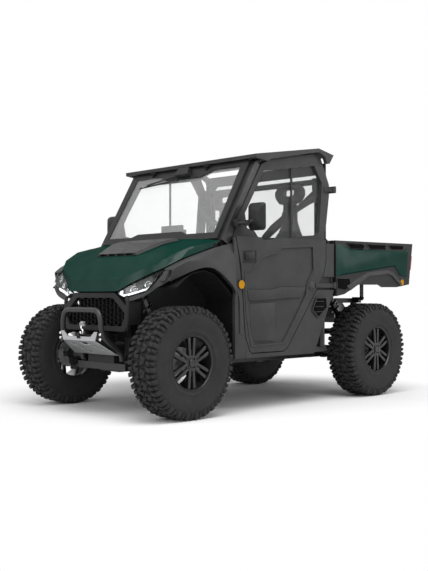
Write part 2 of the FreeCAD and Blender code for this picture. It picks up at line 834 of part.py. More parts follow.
def shocks():
    """The four coil-over shock absorbers."""
    front = shock(shock_foot(front_axle_x), shock_top(front_axle_x, front_shock_top_height))
    rear = shock(shock_foot(rear_axle_x), shock_top(rear_axle_x, rear_shock_top_height))
    return Part.makeCompound([shape for solid in front + rear for shape in (solid, mirrored(solid))])


def half_shaft(x, outer_y):
    """One driven shaft with a tapered boot at each joint."""
    inner_y = gearcase_width / 2 + seat_gap
    thin = half_shaft_diameter / 2
    wide = joint_boot_diameter / 2
    stations = [(inner_y, wide), (inner_y + joint_boot_length, thin), (outer_y - joint_boot_length, thin),
                (outer_y, wide)]
    return skin([polygon_round(V(x, y, axle_height), V(0, 1, 0), radius, round_sides)
                 for y, radius in stations])


def half_shafts():
    """The shafts that drive the wheels, with their joint boots."""
    half = upright_depth / 2
    lock = math.radians(steering_lock_degrees)
    swing = half * math.cos(lock) + upright_width / 2 * math.sin(lock)
    front = half_shaft(front_axle_x, kingpin_half_track - swing - clearance)
    rear = half_shaft(rear_axle_x, kingpin_half_track - half - seat_gap)
    return Part.makeCompound([front, mirrored(front), rear, mirrored(rear)])


def tie_rods():
    """The steering rack's bar and the rods out to the steering arms."""
    x = front_axle_x - steering_arm_reach
    height = axle_height + steering_arm_rise + steering_arm_thickness + tie_rod_gap + tie_rod_radius
    end = kingpin_half_track - steering_arm_drop
    half_eye = tie_rod_radius * 1.5
    long_bar = flat_rod(V(x, -end, height), V(x, end, height), tie_rod_radius, round_sides)
    eyes = [block(x - half_eye, x + half_eye, way * end - half_eye, way * end + half_eye,
                  height - tie_rod_radius, height + half_eye)
            for way in (-1, 1)]
    return joined([long_bar] + eyes)


def gearcases():
    """Front and rear final drives and the steering rack's housing."""
    cases = []
    for x in (front_axle_x, rear_axle_x):
        half = gearcase_width / 2
        low = axle_height - gearcase_height / 2
        case = block(x - gearcase_length / 2, x + gearcase_length / 2, -half, half, low,
                     low + gearcase_height)
        case = case.makeChamfer(gearcase_height / 6,
                                [e for e in case.Edges if abs(e.tangentAt(0).y) > 0.9])
        cases.append(case)
    x = front_axle_x - steering_arm_reach
    height = axle_height + steering_arm_rise + steering_arm_thickness + tie_rod_gap + tie_rod_radius
    half = rack_length / 2
    housing = flat_rod(V(x, -half, height), V(x, half, height), rack_radius, round_sides)
    bore = flat_rod(V(x, -rack_length, height), V(x, rack_length, height), tie_rod_radius + seat_gap,
                    round_sides)
    room = flat_rod(V(x, -rack_length, height), V(x, rack_length, height), rack_radius / 2, round_sides)
    cases[0] = joined([cases[0].cut(room), housing]).cut(bore)
    return Part.makeCompound(cases)


# Chassis

def upright_post(x, y, top):
    """A post of the frame from the rail's top up."""
    half = post_size / 2
    return block(x - half, x + half, y - half, y + half, rail_top, top)


def upper_rail(way):
    """The upper rail of one side behind the cab and its two posts."""
    y = way * rail_half_width
    upper = upper_rail_height - post_size / 2
    rear_post = frame_rear_x + post_size
    front_post = cab_rear_x - post_size
    return [upright_post(rear_post, y, upper_rail_height), upright_post(front_post, y, upper_rail_height),
            bar((rear_post, y, upper), (front_post, y, upper), post_size)]


def bed_pivot(way):
    """The stub on the upper rail that carries the bed's pivot pin."""
    inner = rail_half_width
    y0, y1 = sorted((way * inner, way * bed_pivot_half_width))
    half = post_size / 2
    stub = block(bed_pivot_x - half, bed_pivot_x + half, y0, y1, bed_pivot_height - post_size,
                 bed_pivot_height)
    end = way * (bed_pivot_half_width + post_size)
    return [stub, rod(V(bed_pivot_x, way * inner, bed_pivot_height),
                      V(bed_pivot_x, end, bed_pivot_height), bed_pivot_radius)]


def suspension_mounts(x, way):
    """The brackets of the control arms' bushings, on one rail."""
    half = rail_size / 2
    y = way * rail_half_width
    root = axle_height + upper_arm_root_rise
    top = root + arm_end_size / 2
    shapes = [block(x - arm_half_spread, x + arm_half_spread, y - half, y + half, root - half, top)]
    for side in (-1, 1):
        arm_x = x + side * arm_half_spread
        shapes.append(block(arm_x - half, arm_x + half, y - half, y + half, rail_top, top))
    return shapes


def shock_tower(x, height):
    """The bar over a pair of shock absorbers and its posts on the rails."""
    top = shock_top(x, height)
    bar_z = height + shock_eye_diameter / 2 + seat_gap + post_size / 2
    reach = top.y + shock_eye_diameter / 2 - post_size / 2
    shapes = [bar((top.x, -reach, bar_z), (top.x, reach, bar_z), post_size)]
    for way in (-1, 1):
        shapes.append(upright_post(top.x, way * rail_half_width, bar_z + post_size / 2))
    return shapes


def frame():
    """The frame's two rails and the members that cross between them."""
    rail_middle = rail_bottom + rail_size / 2
    half = rail_size / 2
    shapes = [block(frame_rear_x, frame_front_x, way * rail_half_width - half,
                    way * rail_half_width + half,
                    rail_bottom, rail_top) for way in (-1, 1)]
    rear_cross = rear_axle_x + gearcase_length
    front_cross = front_axle_x - gearcase_length
    for x in (frame_rear_x + half, frame_front_x - half, rear_cross, front_cross):
        shapes.append(bar((x, -rail_half_width, rail_middle), (x, rail_half_width, rail_middle),
                          rail_size))
    return joined(shapes)


def cab_frame():
    """The sills beside the cab's floor, the bars across and the posts that stand them on the rails."""
    sill_z = sill_bottom + post_size / 2
    sill_end = door_rear_x + door_length - rail_size
    shapes = [bar((cab_rear_x, way * sill_half_width, sill_z), (sill_end, way * sill_half_width, sill_z),
                  post_size)
              for way in (-1, 1)]
    for x in (sill_end - rail_size, cab_rear_x + rail_size, (sill_end + cab_rear_x) / 2):
        shapes.append(bar((x, -sill_half_width, sill_z), (x, sill_half_width, sill_z), post_size))
        shapes = shapes + [upright_post(x, -rail_half_width, sill_top),
                           upright_post(x, rail_half_width, sill_top)]
    return joined(shapes)


def front_frame():
    """The front suspension's brackets and the tower that holds its shock absorbers."""
    shapes = suspension_mounts(front_axle_x, -1) + suspension_mounts(front_axle_x, 1)
    return joined(shapes + shock_tower(front_axle_x, front_shock_top_height))


def rear_frame():
    """The rear suspension's brackets and tower, the upper rails and the bed's pivots."""
    upper = upper_rail_height - post_size / 2
    shapes = shock_tower(rear_axle_x, rear_shock_top_height)
    for way in (-1, 1):
        shapes = shapes + upper_rail(way) + bed_pivot(way) + suspension_mounts(rear_axle_x, way)
    for x in (frame_rear_x + post_size, muffler_x, cab_rear_x - post_size):
        shapes.append(bar((x, -rail_half_width, upper), (x, rail_half_width, upper), post_size))
    return joined(shapes)


def engine():
    """The engine and gearbox behind the seats, as one plain block with rounded corners."""
    front = cab_rear_x - post_size * 2
    rear = rear_axle_x + gearcase_length / 2 + seat_gap
    half = engine_width / 2
    corner = engine_width / 10
    outline = [(rear, -half + corner), (rear + corner, -half), (front - corner, -half),
               (front, -half + corner),
               (front, half - corner), (front - corner, half), (rear + corner, half),
               (rear, half - corner)]
    sump = plan_prism(outline, rail_top, rail_top + engine_height * 0.6)
    head = block(rear + corner * 2, front - corner * 2, -half + corner * 2, half - corner * 2, rail_top,
                 rail_top + engine_height)
    return joined([sump, head])


def exhaust():
    """The silencer across the frame's rear and its tailpipe."""
    height = upper_rail_height - post_size - muffler_radius - seat_gap
    half = muffler_length / 2
    can = flat_rod(V(muffler_x, -half, height), V(muffler_x, half, height), muffler_radius, round_sides)
    pipe_y = -half / 2
    bend = V(muffler_x - muffler_radius * 2, pipe_y, height)
    end = V(muffler_x - muffler_radius * 2.6, pipe_y, height - muffler_radius / 2)
    pipe = bent_tube([V(muffler_x, pipe_y, height), bend, end], tailpipe_diameter, slim_sides)
    return joined([can, pipe])


def hitch():
    """The tow receiver under the rear cross member."""
    wide = receiver_inside / 2 + receiver_wall
    high = rail_bottom - hitch_drop
    outside = block(frame_rear_x - receiver_length / 2, frame_rear_x + receiver_length / 2, -wide, wide,
                    high - wide * 2, high)
    inside = block(frame_rear_x - receiver_length, frame_rear_x + receiver_length, -receiver_inside / 2,
                   receiver_inside / 2,
                   high - wide * 2 + receiver_wall, high - receiver_wall)
    pin = rod(V(frame_rear_x - receiver_length / 4, -wide - overrun, high - wide),
              V(frame_rear_x - receiver_length / 4, wide + overrun, high - wide), hitch_pin_radius)
    saddle = block(frame_rear_x, frame_rear_x + rail_size, -wide, wide, high, rail_bottom)
    return joined([outside, saddle]).cut(inside).cut(pin)


# Cab

def floor_tub():
    """The moulded floor, firewall and seat base, one skin across the cab."""
    toe_x = door_rear_x + door_length - rail_size
    seat_front = seat_cushion_front()
    outer = [(toe_x + tub_wall * 4, cowl_height - clearance - dash_height - seat_gap),
             (toe_x, floor_height + tub_wall * 12),
             (toe_x - tub_wall * 3, floor_height), (seat_front - tub_wall * 4, floor_height),
             (seat_front - tub_wall * 2, seat_base_height - tub_wall),
             (cab_rear_x + rear_wall_thickness + cage_diameter + seat_gap, seat_base_height - tub_wall)]
    inner = [(outer[0][0] - tub_wall, outer[0][1]), (outer[1][0] - tub_wall, outer[1][1]),
             (outer[2][0] - tub_wall / 2, outer[2][1] + tub_wall),
             (outer[3][0] + tub_wall, outer[3][1] + tub_wall),
             (outer[4][0] + tub_wall, outer[4][1] + tub_wall), (outer[5][0], outer[5][1] + tub_wall)]
    return side_prism(outer + inner[::-1], -tub_half_width, tub_half_width)


def seat_cushion_front():
    """Where the seat cushions end, above the floor."""
    return hoop_x + cage_diameter / 2 + seat_back_thickness + seat_cushion_length


def seats():
    """Two bucket seats with open headrests."""
    back_x = hoop_x + cage_diameter / 2 + seat_gap
    front = seat_cushion_front()
    low = seat_base_height
    top = low + seat_cushion_height
    half = seat_width / 2
    outline = [(back_x + seat_recline, low), (front, low), (front + overrun, top - overrun),
               (front - overrun, top),
               (back_x + seat_recline + seat_back_thickness + overrun, top - overrun),
               (back_x + seat_back_thickness, low + seat_back_height),
               (back_x + overrun, low + seat_back_height)]
    seat = side_prism(outline, seat_centre - half, seat_centre + half)
    tall = [e for e in seat.Edges if e.Length > seat_back_height / 2 and e.Length < seat_back_height
            * 0.97 and abs(e.tangentAt(0).y) < 0.1]
    seat = seat.makeChamfer(seat_back_thickness / 4, tall)
    neck = headrest_width / 3
    low_rest = low + seat_back_height + overrun
    high_rest = low_rest + headrest_height
    corner = headrest_height / 4
    rest = [(neck, low_rest), (headrest_width / 2, low_rest + corner * 2),
            (headrest_width / 2, high_rest - corner),
            (headrest_width / 2 - corner, high_rest)]
    hole_low = (low_rest + high_rest - headrest_hole_height) / 2 + corner / 2
    hole = [(headrest_hole_width / 2, hole_low), (headrest_hole_width / 2,
                                                  hole_low + headrest_hole_height)]
    head = front_prism([(seat_centre + y, z) for y, z in both_ways(rest)], back_x,
                       back_x + seat_back_thickness)
    head = head.cut(front_prism([(seat_centre + y, z) for y, z in both_ways(hole)], back_x - overrun,
                                back_x + seat_back_thickness + overrun))
    stem = block(back_x + overrun, back_x + seat_back_thickness - overrun, seat_centre - neck,
                 seat_centre + neck,
                 low + seat_back_height - overrun, low_rest + overrun)
    return pair(joined([seat, head, stem]))


def seat_belts():
    """The webbing that hangs from each pillar, with its guide."""
    x = hoop_x + cage_diameter / 2 + seat_gap
    y = cage_half_width - belt_width / 2
    top = upper_hinge_height
    strap = block(x, x + belt_thickness, y - belt_width / 2, y + belt_width / 2, seat_base_height, top)
    guide = block(x, x + belt_thickness * 5, y - belt_width * 0.6, y + belt_width * 0.6, top,
                  top + belt_width * 2)
    reel = block(x, x + belt_width, y - belt_width * 0.6, y + belt_width * 0.6, seat_base_height,
                 seat_base_height + belt_width * 2)
    return pair(joined([strap, guide, reel]))


def dash():
    """The moulded dashboard with its display."""
    front = windshield_base_x - windshield_frame_depth * 2
    rear = front - dash_depth
    top = cowl_height - clearance
    low = top - dash_height
    outline = [(front, top - dash_height / 4), (front - dash_depth / 5, top),
               (rear + dash_depth / 6, top),
               (rear, top - dash_height / 6), (rear + dash_depth / 8, low + dash_height / 5),
               (rear + dash_depth / 3, low), (front, low)]
    board = side_prism(outline, -pillar_inner_half, pillar_inner_half)
    pod_low = top - clearance
    pod_x = rear + dash_depth / 8
    pod = block(pod_x, pod_x + display_depth, display_left - display_width, display_left, pod_low,
                pod_low + display_height)
    deep = column_spot(-steering_hub_depth - column_length - overrun)
    shaft = flat_rod(deep, column_spot(column_length), column_radius + seat_gap, round_sides)
    glove = block(rear - overrun, rear + dash_depth / 2, -pillar_inner_half * 0.8,
                  -pillar_inner_half * 0.3,
                  low + dash_height / 3, low + dash_height * 0.7)
    return joined([board, pod]).cut(shaft).cut(glove)


def column_spot(back):
    """A point of the steering column, so far behind the wheel's middle."""
    return V(steering_wheel_x - back * math.cos(column_slope), steering_wheel_offset,
             steering_wheel_height + back * math.sin(column_slope))


def steering_column():
    """The column from the dash to the wheel's hub, open at its upper end."""
    top = column_spot(-steering_hub_depth)
    column = flat_rod(top, column_spot(-steering_hub_depth - column_length), column_radius, round_sides)
    bore = flat_rod(column_spot(overrun), column_spot(-steering_hub_depth - steering_stub_length
                                                      - overrun), column_bore_radius, round_sides)
    return column.cut(bore)


def steering_wheel():
    """A three-spoke steering wheel with the stub that turns in the column."""
    axis = (column_spot(1.0) - column_spot(0)).normalize()
    across = V(0, 1, 0)
    upward = axis.cross(across).normalize()
    grip = steering_rim_diameter / 2
    middle = steering_wheel_radius - grip
    outline = [(middle + grip * math.cos(math.radians(60 * k)), grip * math.sin(math.radians(60 * k)))
               for k in range(6)]
    rim_ring = faceted(outline, steering_wheel_sides, column_spot(0), axis, upward)
    hub = flat_rod(column_spot(seat_gap - steering_hub_depth), column_spot(steering_rim_diameter / 3),
                   steering_hub_radius, round_sides)
    stub = rod(column_spot(0), column_spot(-steering_hub_depth - steering_stub_length),
               steering_stub_radius)
    spokes = []
    half = steering_rim_diameter / 4
    for way, wide in ((across, upward), (across * -1, upward), (upward * -1, across)):
        base = column_spot(0) - axis * half - wide * grip
        corners = [base, base + wide * grip * 2, base + wide * grip * 2 + axis * half * 2,
                   base + axis * half * 2]
        spokes.append(polygon_face(corners).extrude(way * middle))
    return joined([rim_ring, hub, stub] + spokes)


def windshield_spot(along, back):
    """A point (x, z) on the windshield's slope, so far up it and behind its face."""
    slope = math.hypot(windshield_run, windshield_rise)
    ux = -windshield_run / slope
    uz = windshield_rise / slope
    return windshield_base_x + ux * along - uz * back, cowl_height - clearance + uz * along + ux * back


def windshield_panel(outline, start, end):
    """A flat piece in the windshield's slope, from points (y, along)."""
    corners = []
    for y, along in outline:
        x, z = windshield_spot(along, start)
        corners.append(V(x, y, z))
    x0, z0 = windshield_spot(0, start)
    x1, z1 = windshield_spot(0, end)
    return polygon_face(corners).extrude(V(x1 - x0, 0, z1 - z0))


def windshield_opening():
    """The windshield's clear pane as half an outline (y, along)."""
    slope = math.hypot(windshield_run, windshield_rise)
    side = windshield_half_width - windshield_border
    bump_half = hood_half_width * 0.45
    return [(bump_half * 0.8, windshield_border + windshield_bump), (bump_half, windshield_border),
            (side, windshield_border), (side - windshield_border / 3, slope - windshield_border),
            (bump_half, slope - windshield_border),
            (bump_half * 0.6, slope - windshield_border - windshield_bump * 2)]


def hood_ear():
    """The left ear at the windshield's foot with the pin that carries the hood."""
    pin = hood_pin()
    half = hood_lug_height / 2
    y0 = hood_hinge_half_width + hood_lug_width + seat_gap
    y1 = y0 + hinge_ear_thickness
    ear = block(windshield_base_x - half, pin.x + half / 2, y0, y1, pin.z - half, pin.z + half / 2)
    return [ear, rod(V(pin.x, y1, pin.z), V(pin.x, hood_hinge_half_width, pin.z), hood_pin_radius)]


def windshield_frame():
    """The dark surround of the windshield, with the hood's hinge ears."""
    slope = math.hypot(windshield_run, windshield_rise)
    half = windshield_half_width
    outer = [(half, 0), (half, slope)]
    surround = windshield_panel(both_ways(outer), 0, windshield_frame_depth)
    opening = windshield_panel(both_ways(windshield_opening()), -overrun,
                               windshield_frame_depth + overrun)
    ears = [shape for piece in hood_ear() for shape in (piece, mirrored(piece))]
    return joined([surround.cut(opening)] + ears)


def rear_window_points():
    """The rear window as half an outline (y, z)."""
    side = windshield_half_width - rear_window_border
    low = belt_height + rear_window_border
    high = roof_front_height - rear_window_border
    corner = rear_window_border / 2
    return [(side, low), (side, high - corner), (side - corner, high)]


def cab_glass():
    """The windshield's pane and the rear window's pane."""
    middle = (windshield_frame_depth - glass_thickness) / 2
    front = windshield_panel(both_ways(windshield_opening()), middle, middle + glass_thickness)
    start = cab_rear_x + (rear_wall_thickness - glass_thickness) / 2
    rear = front_prism(both_ways(rear_window_points()), start, start + glass_thickness)
    return Part.makeCompound([front, rear])


def rear_panel():
    """The cab's rear wall, with its window cut."""
    low = seat_base_height
    wall = [(rear_wall_half_width, low), (rear_wall_half_width, belt_height),
            (windshield_half_width, belt_height + rear_window_border / 2),
            (windshield_half_width, roof_front_height + roof_gap * 3)]
    panel = front_prism(both_ways(wall), cab_rear_x, cab_rear_x + rear_wall_thickness)
    window = front_prism(both_ways(rear_window_points()), cab_rear_x - overrun,
                         cab_rear_x + rear_wall_thickness + overrun)
    return panel.cut(window)


def roof_line(x):
    """The height of the roof's top over a place along the vehicle."""
    peak_x = roof_peak_x()
    front_x = roof_front_x()
    share = (front_x - x) / (front_x - peak_x)
    return roof_front_height + (roof_height - roof_front_height) * share


def roof_front_x():
    """The roof's front edge."""
    return cab_rear_x + roof_length + clearance * 1.5


def roof_peak_x():
    """Where the roof is highest."""
    return cab_rear_x + roof_length * 0.218


def roof():
    """The moulded roof: a top skin with side flanges and a raised tail."""
    front = roof_front_x()
    peak = roof_peak_x()
    tail = cab_rear_x + clearance * 1.5
    drop = roof_height - roof_front_height
    top = [(front, roof_front_height), (peak, roof_height), (tail, roof_height - drop * 0.3),
           (tail, roof_height - drop * 0.3 - roof_skin), (peak, roof_height - roof_skin),
           (front, roof_front_height - roof_skin)]
    skin = side_prism(top, -roof_half_width + roof_flange_width / 2,
                      roof_half_width - roof_flange_width / 2)
    flange = [(front, roof_front_height), (peak, roof_height), (tail, roof_height - drop * 0.3),
              (tail + drop * 0.45, roof_height - drop * 0.92), (tail + drop, roof_height - drop * 0.92),
              (peak, roof_height - roof_skin * 3), (front - drop, roof_front_height - roof_skin * 3),
              (front, roof_front_height - roof_skin * 2)]
    door = grown_prism(door_outline(door_upper_shares), roof_gap,
                       cab_half_width - door_upper_thickness * 3, roof_half_width + overrun)
    side = side_prism(flange, roof_half_width - roof_flange_width, roof_half_width).cut(door)
    lip = block(front - roof_skin * 3, front, -roof_half_width + roof_flange_width,
                roof_half_width - roof_flange_width,
                roof_front_height - roof_skin * 2, roof_front_height - roof_skin * 0.5)
    return joined([skin, side, mirrored(side), lip])


def cage_hoop():
    """One side of the cage: its roof rail and the leg behind the seats, in one bent tube."""
    under = roof_skin + cage_diameter / 2 + seat_gap
    slope = math.hypot(windshield_run, windshield_rise)
    front_x = windshield_spot(slope, windshield_frame_depth + pillar_width / 2)[0]
    points = [V(front_x, cage_half_width, roof_line(front_x) - under - overrun),
              V(roof_peak_x(), cage_half_width, roof_height - under),
              V(hoop_x, cage_half_width, roof_height - cage_bend * 1.4),
              V(hoop_x, cage_half_width, sill_top)]
    return points, bent_tube(points, cage_diameter, round_sides, cage_bend / 4)


def pillar_line(start, end):
    """The front pillar's side outline, between two depths behind the windshield's face."""
    slope = math.hypot(windshield_run, windshield_rise)
    return [windshield_spot(0, start), windshield_spot(slope, start),
            windshield_spot(slope, end), windshield_spot(0, end)]


def front_pillar():
    """The front pillar, its trim and the post down to the sill."""
    start = windshield_frame_depth + seat_gap
    pillar = pillar_line(start, windshield_frame_depth + pillar_width)
    post_x = door_rear_x + door_length - rail_size
    low = belt_height - dash_height
    post = pillar + [(post_x - rail_size / 5, low), (post_x - rail_size / 5, sill_top),
                     (post_x + rail_size * 0.8, sill_top), (post_x + rail_size, low)]
    post = side_prism(post, tub_half_width + seat_gap,
                      cab_half_width - door_upper_inset - door_upper_thickness - clearance)
    trim = side_prism(pillar, pillar_inner_half, pillar_outer_half)
    door = grown_prism(door_outline(door_upper_shares), panel_gap, pillar_inner_half,
                       cab_half_width + overrun)
    return joined([post, trim.cut(door)])


def roll_cage():
    """Front pillars, roof rails, rear hoop and its diagonal."""
    points, side = cage_hoop()
    half = cage_cross_diameter / 2
    beam_z = roof_height - cage_bend * 2.6
    front = points[0]
    crosses = [flat_rod(V(x, -cage_half_width, z), V(x, cage_half_width, z), half, round_sides)
               for x, z in ((front.x - half, front.z), (hoop_x, beam_z), (hoop_x, belt_height))]
    diagonal = flat_rod(V(hoop_x, cage_half_width - half, beam_z - cage_diameter),
                        V(hoop_x, half - cage_half_width, seat_base_height + cage_bend), half * 0.8,
                        round_sides)
    pillar = front_pillar()
    rise = door_barrel_height / 2 + hinge_ear_thickness
    root_y = windshield_half_width + seat_gap
    root = block(door_pin_x, hoop_x, root_y, root_y + hinge_ear_thickness,
                 upper_hinge_height - rise, upper_hinge_height + rise)
    ears = joined([door_ears(upper_hinge_height, root_y), root])
    return joined([side, mirrored(side), pillar, mirrored(pillar), ears, mirrored(ears), diagonal]
                  + crosses)


def door_ears(height, root_y):
    """Two ears and a pin that carry a door's hinge barrel."""
    half = door_barrel_height / 2
    reach = door_barrel_radius * 0.7
    x0 = door_pin_x - reach
    x1 = door_pin_x + door_pin_back / 2
    low = height - half - hinge_ear_thickness
    high = height + half + hinge_ear_thickness
    shapes = [rod(V(door_pin_x, door_pin_y, low), V(door_pin_x, door_pin_y, high), door_pin_radius),
              block(x0, x1, root_y, door_pin_y + reach, low, low + hinge_ear_thickness - seat_gap),
              block(x0, x1, root_y, door_pin_y + reach, high - hinge_ear_thickness + seat_gap, high),
              block(x0, x1, root_y, door_pin_y - door_barrel_radius - clearance, low, high)]
    return joined(shapes)


def side_panels():
    """The rocker, the pocketed panel behind the door and the cab's rear corner."""
    rear_foot = cab_rear_x + cab_length * 0.198
    shoulder = sill_bottom + (cowl_height - sill_bottom) * 0.565
    front = door_rear_x + door_length * 0.91
    outer = [(front, sill_bottom), (rear_foot, sill_bottom), (cab_rear_x, shoulder),
             (cab_rear_x, belt_height - clearance * 2),
             (door_rear_x + door_length * 0.1, belt_height - clearance * 2),
             (front, belt_height - clearance * 2)]
    thick = side_prism(outer, cab_half_width - side_panel_depth, cab_half_width)
    door = grown_prism(door_outline(door_lower_shares), panel_gap,
                       cab_half_width - side_panel_depth - overrun, cab_half_width + overrun)
    panel = thick.cut(door)
    panel = [solid for solid in panel.Solids if solid.BoundBox.XMin < door_rear_x + door_length / 2][0]
    pocket_box = spots(cab_rear_x, sill_bottom, cab_length * 0.27, shoulder - sill_bottom,
                       hex_pocket_shares)
    panel = panel.cut(side_prism(pocket_box, cab_half_width - hex_pocket_depth, cab_half_width + overrun))
    recess_low = lower_hinge_height - door_barrel_height
    recess = block(cab_rear_x - overrun, door_rear_x + door_length * 0.2,
                   cab_half_width - hex_pocket_depth, cab_half_width + overrun,
                   recess_low, lower_hinge_height + door_barrel_height * 2)
    panel = panel.cut(recess)
    sill = block(rear_foot, front, sill_half_width + post_size / 2 + seat_gap,
                 cab_half_width - side_panel_depth / 2, sill_bottom, door_bottom - panel_gap)
    jamb = block(cab_rear_x, cab_rear_x + rear_wall_thickness, rear_wall_half_width + seat_gap,
                 cab_half_width - side_panel_depth / 2, shoulder, belt_height - clearance * 2)
    ears = door_ears(lower_hinge_height, cab_half_width - hex_pocket_depth - seat_gap)
    return pair(joined([panel, sill, jamb, ears]))


def door(side):
    """A hollow-windowed door, with its recessed skin and its two hinge straps."""
    outer_y = cab_half_width
    inner_y = outer_y - door_lower_thickness
    lower = side_prism(door_outline(door_lower_shares), inner_y, outer_y)
    upper_y = outer_y - door_upper_inset
    upper = side_prism(door_outline(door_upper_shares), upper_y - door_upper_thickness, upper_y)
    recess = side_prism(door_outline(door_recess_shares), outer_y - door_recess_depth, outer_y + overrun)
    window = side_prism(door_outline(door_window_shares), inner_y - overrun * 2, outer_y + overrun)
    divider_x = door_rear_x + door_length * door_divider_share
    divider = block(divider_x - divider_width / 2, divider_x + divider_width / 2,
                    upper_y - door_upper_thickness * 0.7,
                    upper_y - door_upper_thickness * 0.3, door_bottom + door_height * 0.56,
                    door_bottom + door_height * 0.92)
    latch_x, latch_z = door_outline([door_latch_shares])[0]
    latch = block(latch_x - latch_length / 2, latch_x + latch_length / 2, outer_y - latch_recess,
                  outer_y + overrun,
                  latch_z - latch_height / 2, latch_z + latch_height / 2)
    paddle = block(latch_x - latch_length / 2, latch_x + latch_length / 5, outer_y - latch_recess,
                   outer_y + latch_recess / 3,
                   latch_z - latch_height / 3, latch_z + latch_height / 3)
    shell = joined([lower, upper]).cut(recess).cut(window).cut(latch)
    straps = [door_strap(lower_hinge_height, lower_strap_length, outer_y),
              door_strap(upper_hinge_height, upper_strap_length, upper_y)]
    whole = joined([shell, divider, paddle] + straps)
    return whole if side > 0 else mirrored(whole)


def door_strap(height, length, face_y):
    """A hinge strap from its barrel to the door's outer face."""
    half = door_barrel_height / 2 - seat_gap
    low = V(door_pin_x, door_pin_y, height - half)
    high = V(door_pin_x, door_pin_y, height + half)
    barrel = flat_rod(low, high, door_barrel_radius, round_sides)
    knee = door_pin_x + door_barrel_radius * 2.2
    outline = [(door_pin_x, door_pin_y - strap_thickness / 2),
               (door_pin_x, door_pin_y + strap_thickness / 2),
               (knee, face_y + strap_thickness), (door_pin_x + length, face_y + strap_thickness),
               (door_pin_x + length, face_y - strap_thickness), (knee, face_y - strap_thickness / 4)]
    beyond = V(0, 0, overrun)
    bore = flat_rod(low - beyond, high + beyond, door_pin_radius + seat_gap, round_sides)
    return joined([barrel, plan_prism(outline, low.z, high.z)]).cut(bore)


def door_glass(side):
    """The pane that fills a door's window."""
    upper_y = cab_half_width - door_upper_inset
    middle = upper_y - door_upper_thickness * 0.7
    pane = side_prism(door_outline(door_window_shares), middle - glass_thickness, middle)
    return pane if side > 0 else mirrored(pane)


def mirror(side):
    """A side mirror on its arm, carried by the door's front corner."""
    root_x, root_z = door_outline([(0.93, 0.6)])[0]
    face_y = cab_half_width - door_upper_inset
    root = V(root_x, face_y + seat_gap, root_z)
    knee = V(root_x, face_y + mirror_width / 2, root_z)
    head_x = root_x - mirror_thickness * 1.6
    centre_y = face_y + mirror_width * 0.75
    low = root_z - mirror_height * 0.25
    arm = bent_tube([root, knee, V(head_x, centre_y, root_z)], mirror_arm_diameter, slim_sides)
    corner = mirror_width / 5
    y0 = centre_y - mirror_width / 2
    y1 = centre_y + mirror_width / 2
    outline = [(y0 + corner, low), (y1 - corner, low), (y1, low + corner),
               (y1, low + mirror_height - corner / 2),
               (y1 - corner / 2, low + mirror_height), (y0 + corner / 2, low + mirror_height),
               (y0, low + mirror_height - corner / 2), (y0, low + corner)]
    head = front_prism(outline, head_x - mirror_thickness / 2, head_x + mirror_thickness / 2)
    head = head.makeChamfer(mirror_thickness / 3, [e for e in head.Edges if e.BoundBox.XMin > head_x])
    whole = joined([arm, head])
    return whole if side > 0 else mirrored(whole)


# Nose

def hood_section(row, way):
    """The hood's section at one width, as a closed strip of its skin's thickness."""
    y = way * hood_half_width * row[0]
    outer = [hood_point(share) for share in row[1:]]
    drops = [(0, -1), (0, -1), (-0.5, -1), (-1, -0.5), (-1, 0)]
    inner = [(x + dx * hood_skin, z + dz * hood_skin) for (x, z), (dx, dz) in zip(outer, drops)]
    return [V(x, y, z) for x, z in outer + inner[::-1]]


def hood_pin():
    """The middle of the hood's hinge line."""
    return V(cowl_x - hood_pin_setback, 0, cowl_height - hood_pin_drop)


def hood_lug():
    """The left hinge lug under the hood's rear edge, with its bore."""
    pin = hood_pin()
    half = hood_lug_height / 2
    y0 = hood_hinge_half_width
    y1 = y0 + hood_lug_width
    eye = flat_rod(V(pin.x, y0, pin.z), V(pin.x, y1, pin.z), half, round_sides)
    lug = joined([eye, block(pin.x, pin.x + hood_lug_length, y0, y1, pin.z - half, pin.z + half)])
    bore = flat_rod(V(pin.x, y0 - overrun, pin.z), V(pin.x, y1 + overrun, pin.z),
                    hood_pin_radius + seat_gap, slim_sides)
    return lug, bore


def hood():
    """The hood's shell, hinged at the cowl."""
    right = [hood_section(row, -1) for row in reversed(hood_section_shares[1:])]
    left = [hood_section(row, 1) for row in hood_section_shares]
    lug, bore = hood_lug()
    return joined([skin(right + left), lug, mirrored(lug)]).cut([bore, mirrored(bore)])


def hood_scoop():
    """The raised scoop on the hood, open through slots at its front."""
    stations = [(0.11, 0.5), (hood_section_shares[0][2][0], 0.44), (0.63, 0.33)]
    sections = []
    for share, wide in stations:
        x = cowl_x + nose_length * share
        half = hood_half_width * wide
        foot = hood_top(x) + seat_gap
        sections.append([V(x, -half, foot), V(x, -half * 0.92, foot + scoop_rise),
                         V(x, half * 0.92, foot + scoop_rise), V(x, half, foot)])
    shell = skin(sections)
    front_x = cowl_x + nose_length * stations[-1][0]
    gap = hood_half_width * stations[-1][1] * 1.7 / scoop_slots
    low = hood_top(front_x) + scoop_wall / 2
    slots = []
    for number in range(scoop_slots):
        y = gap * (number - (scoop_slots - 1) / 2)
        slots.append(block(front_x - scoop_rise, front_x + overrun, y - gap * 0.4, y + gap * 0.4,
                           low, low + scoop_mouth_height))
    return shell.cut(slots)


def hood_top(x):
    """The height of the hood's middle at a place along the vehicle."""
    points = [hood_point(share) for share in hood_section_shares[0][1:]]
    for (x0, z0), (x1, z1) in zip(points, points[1:]):
        if x <= x1:
            return z0 + (z1 - z0) * (x - x0) / (x1 - x0)
    return points[-1][1]


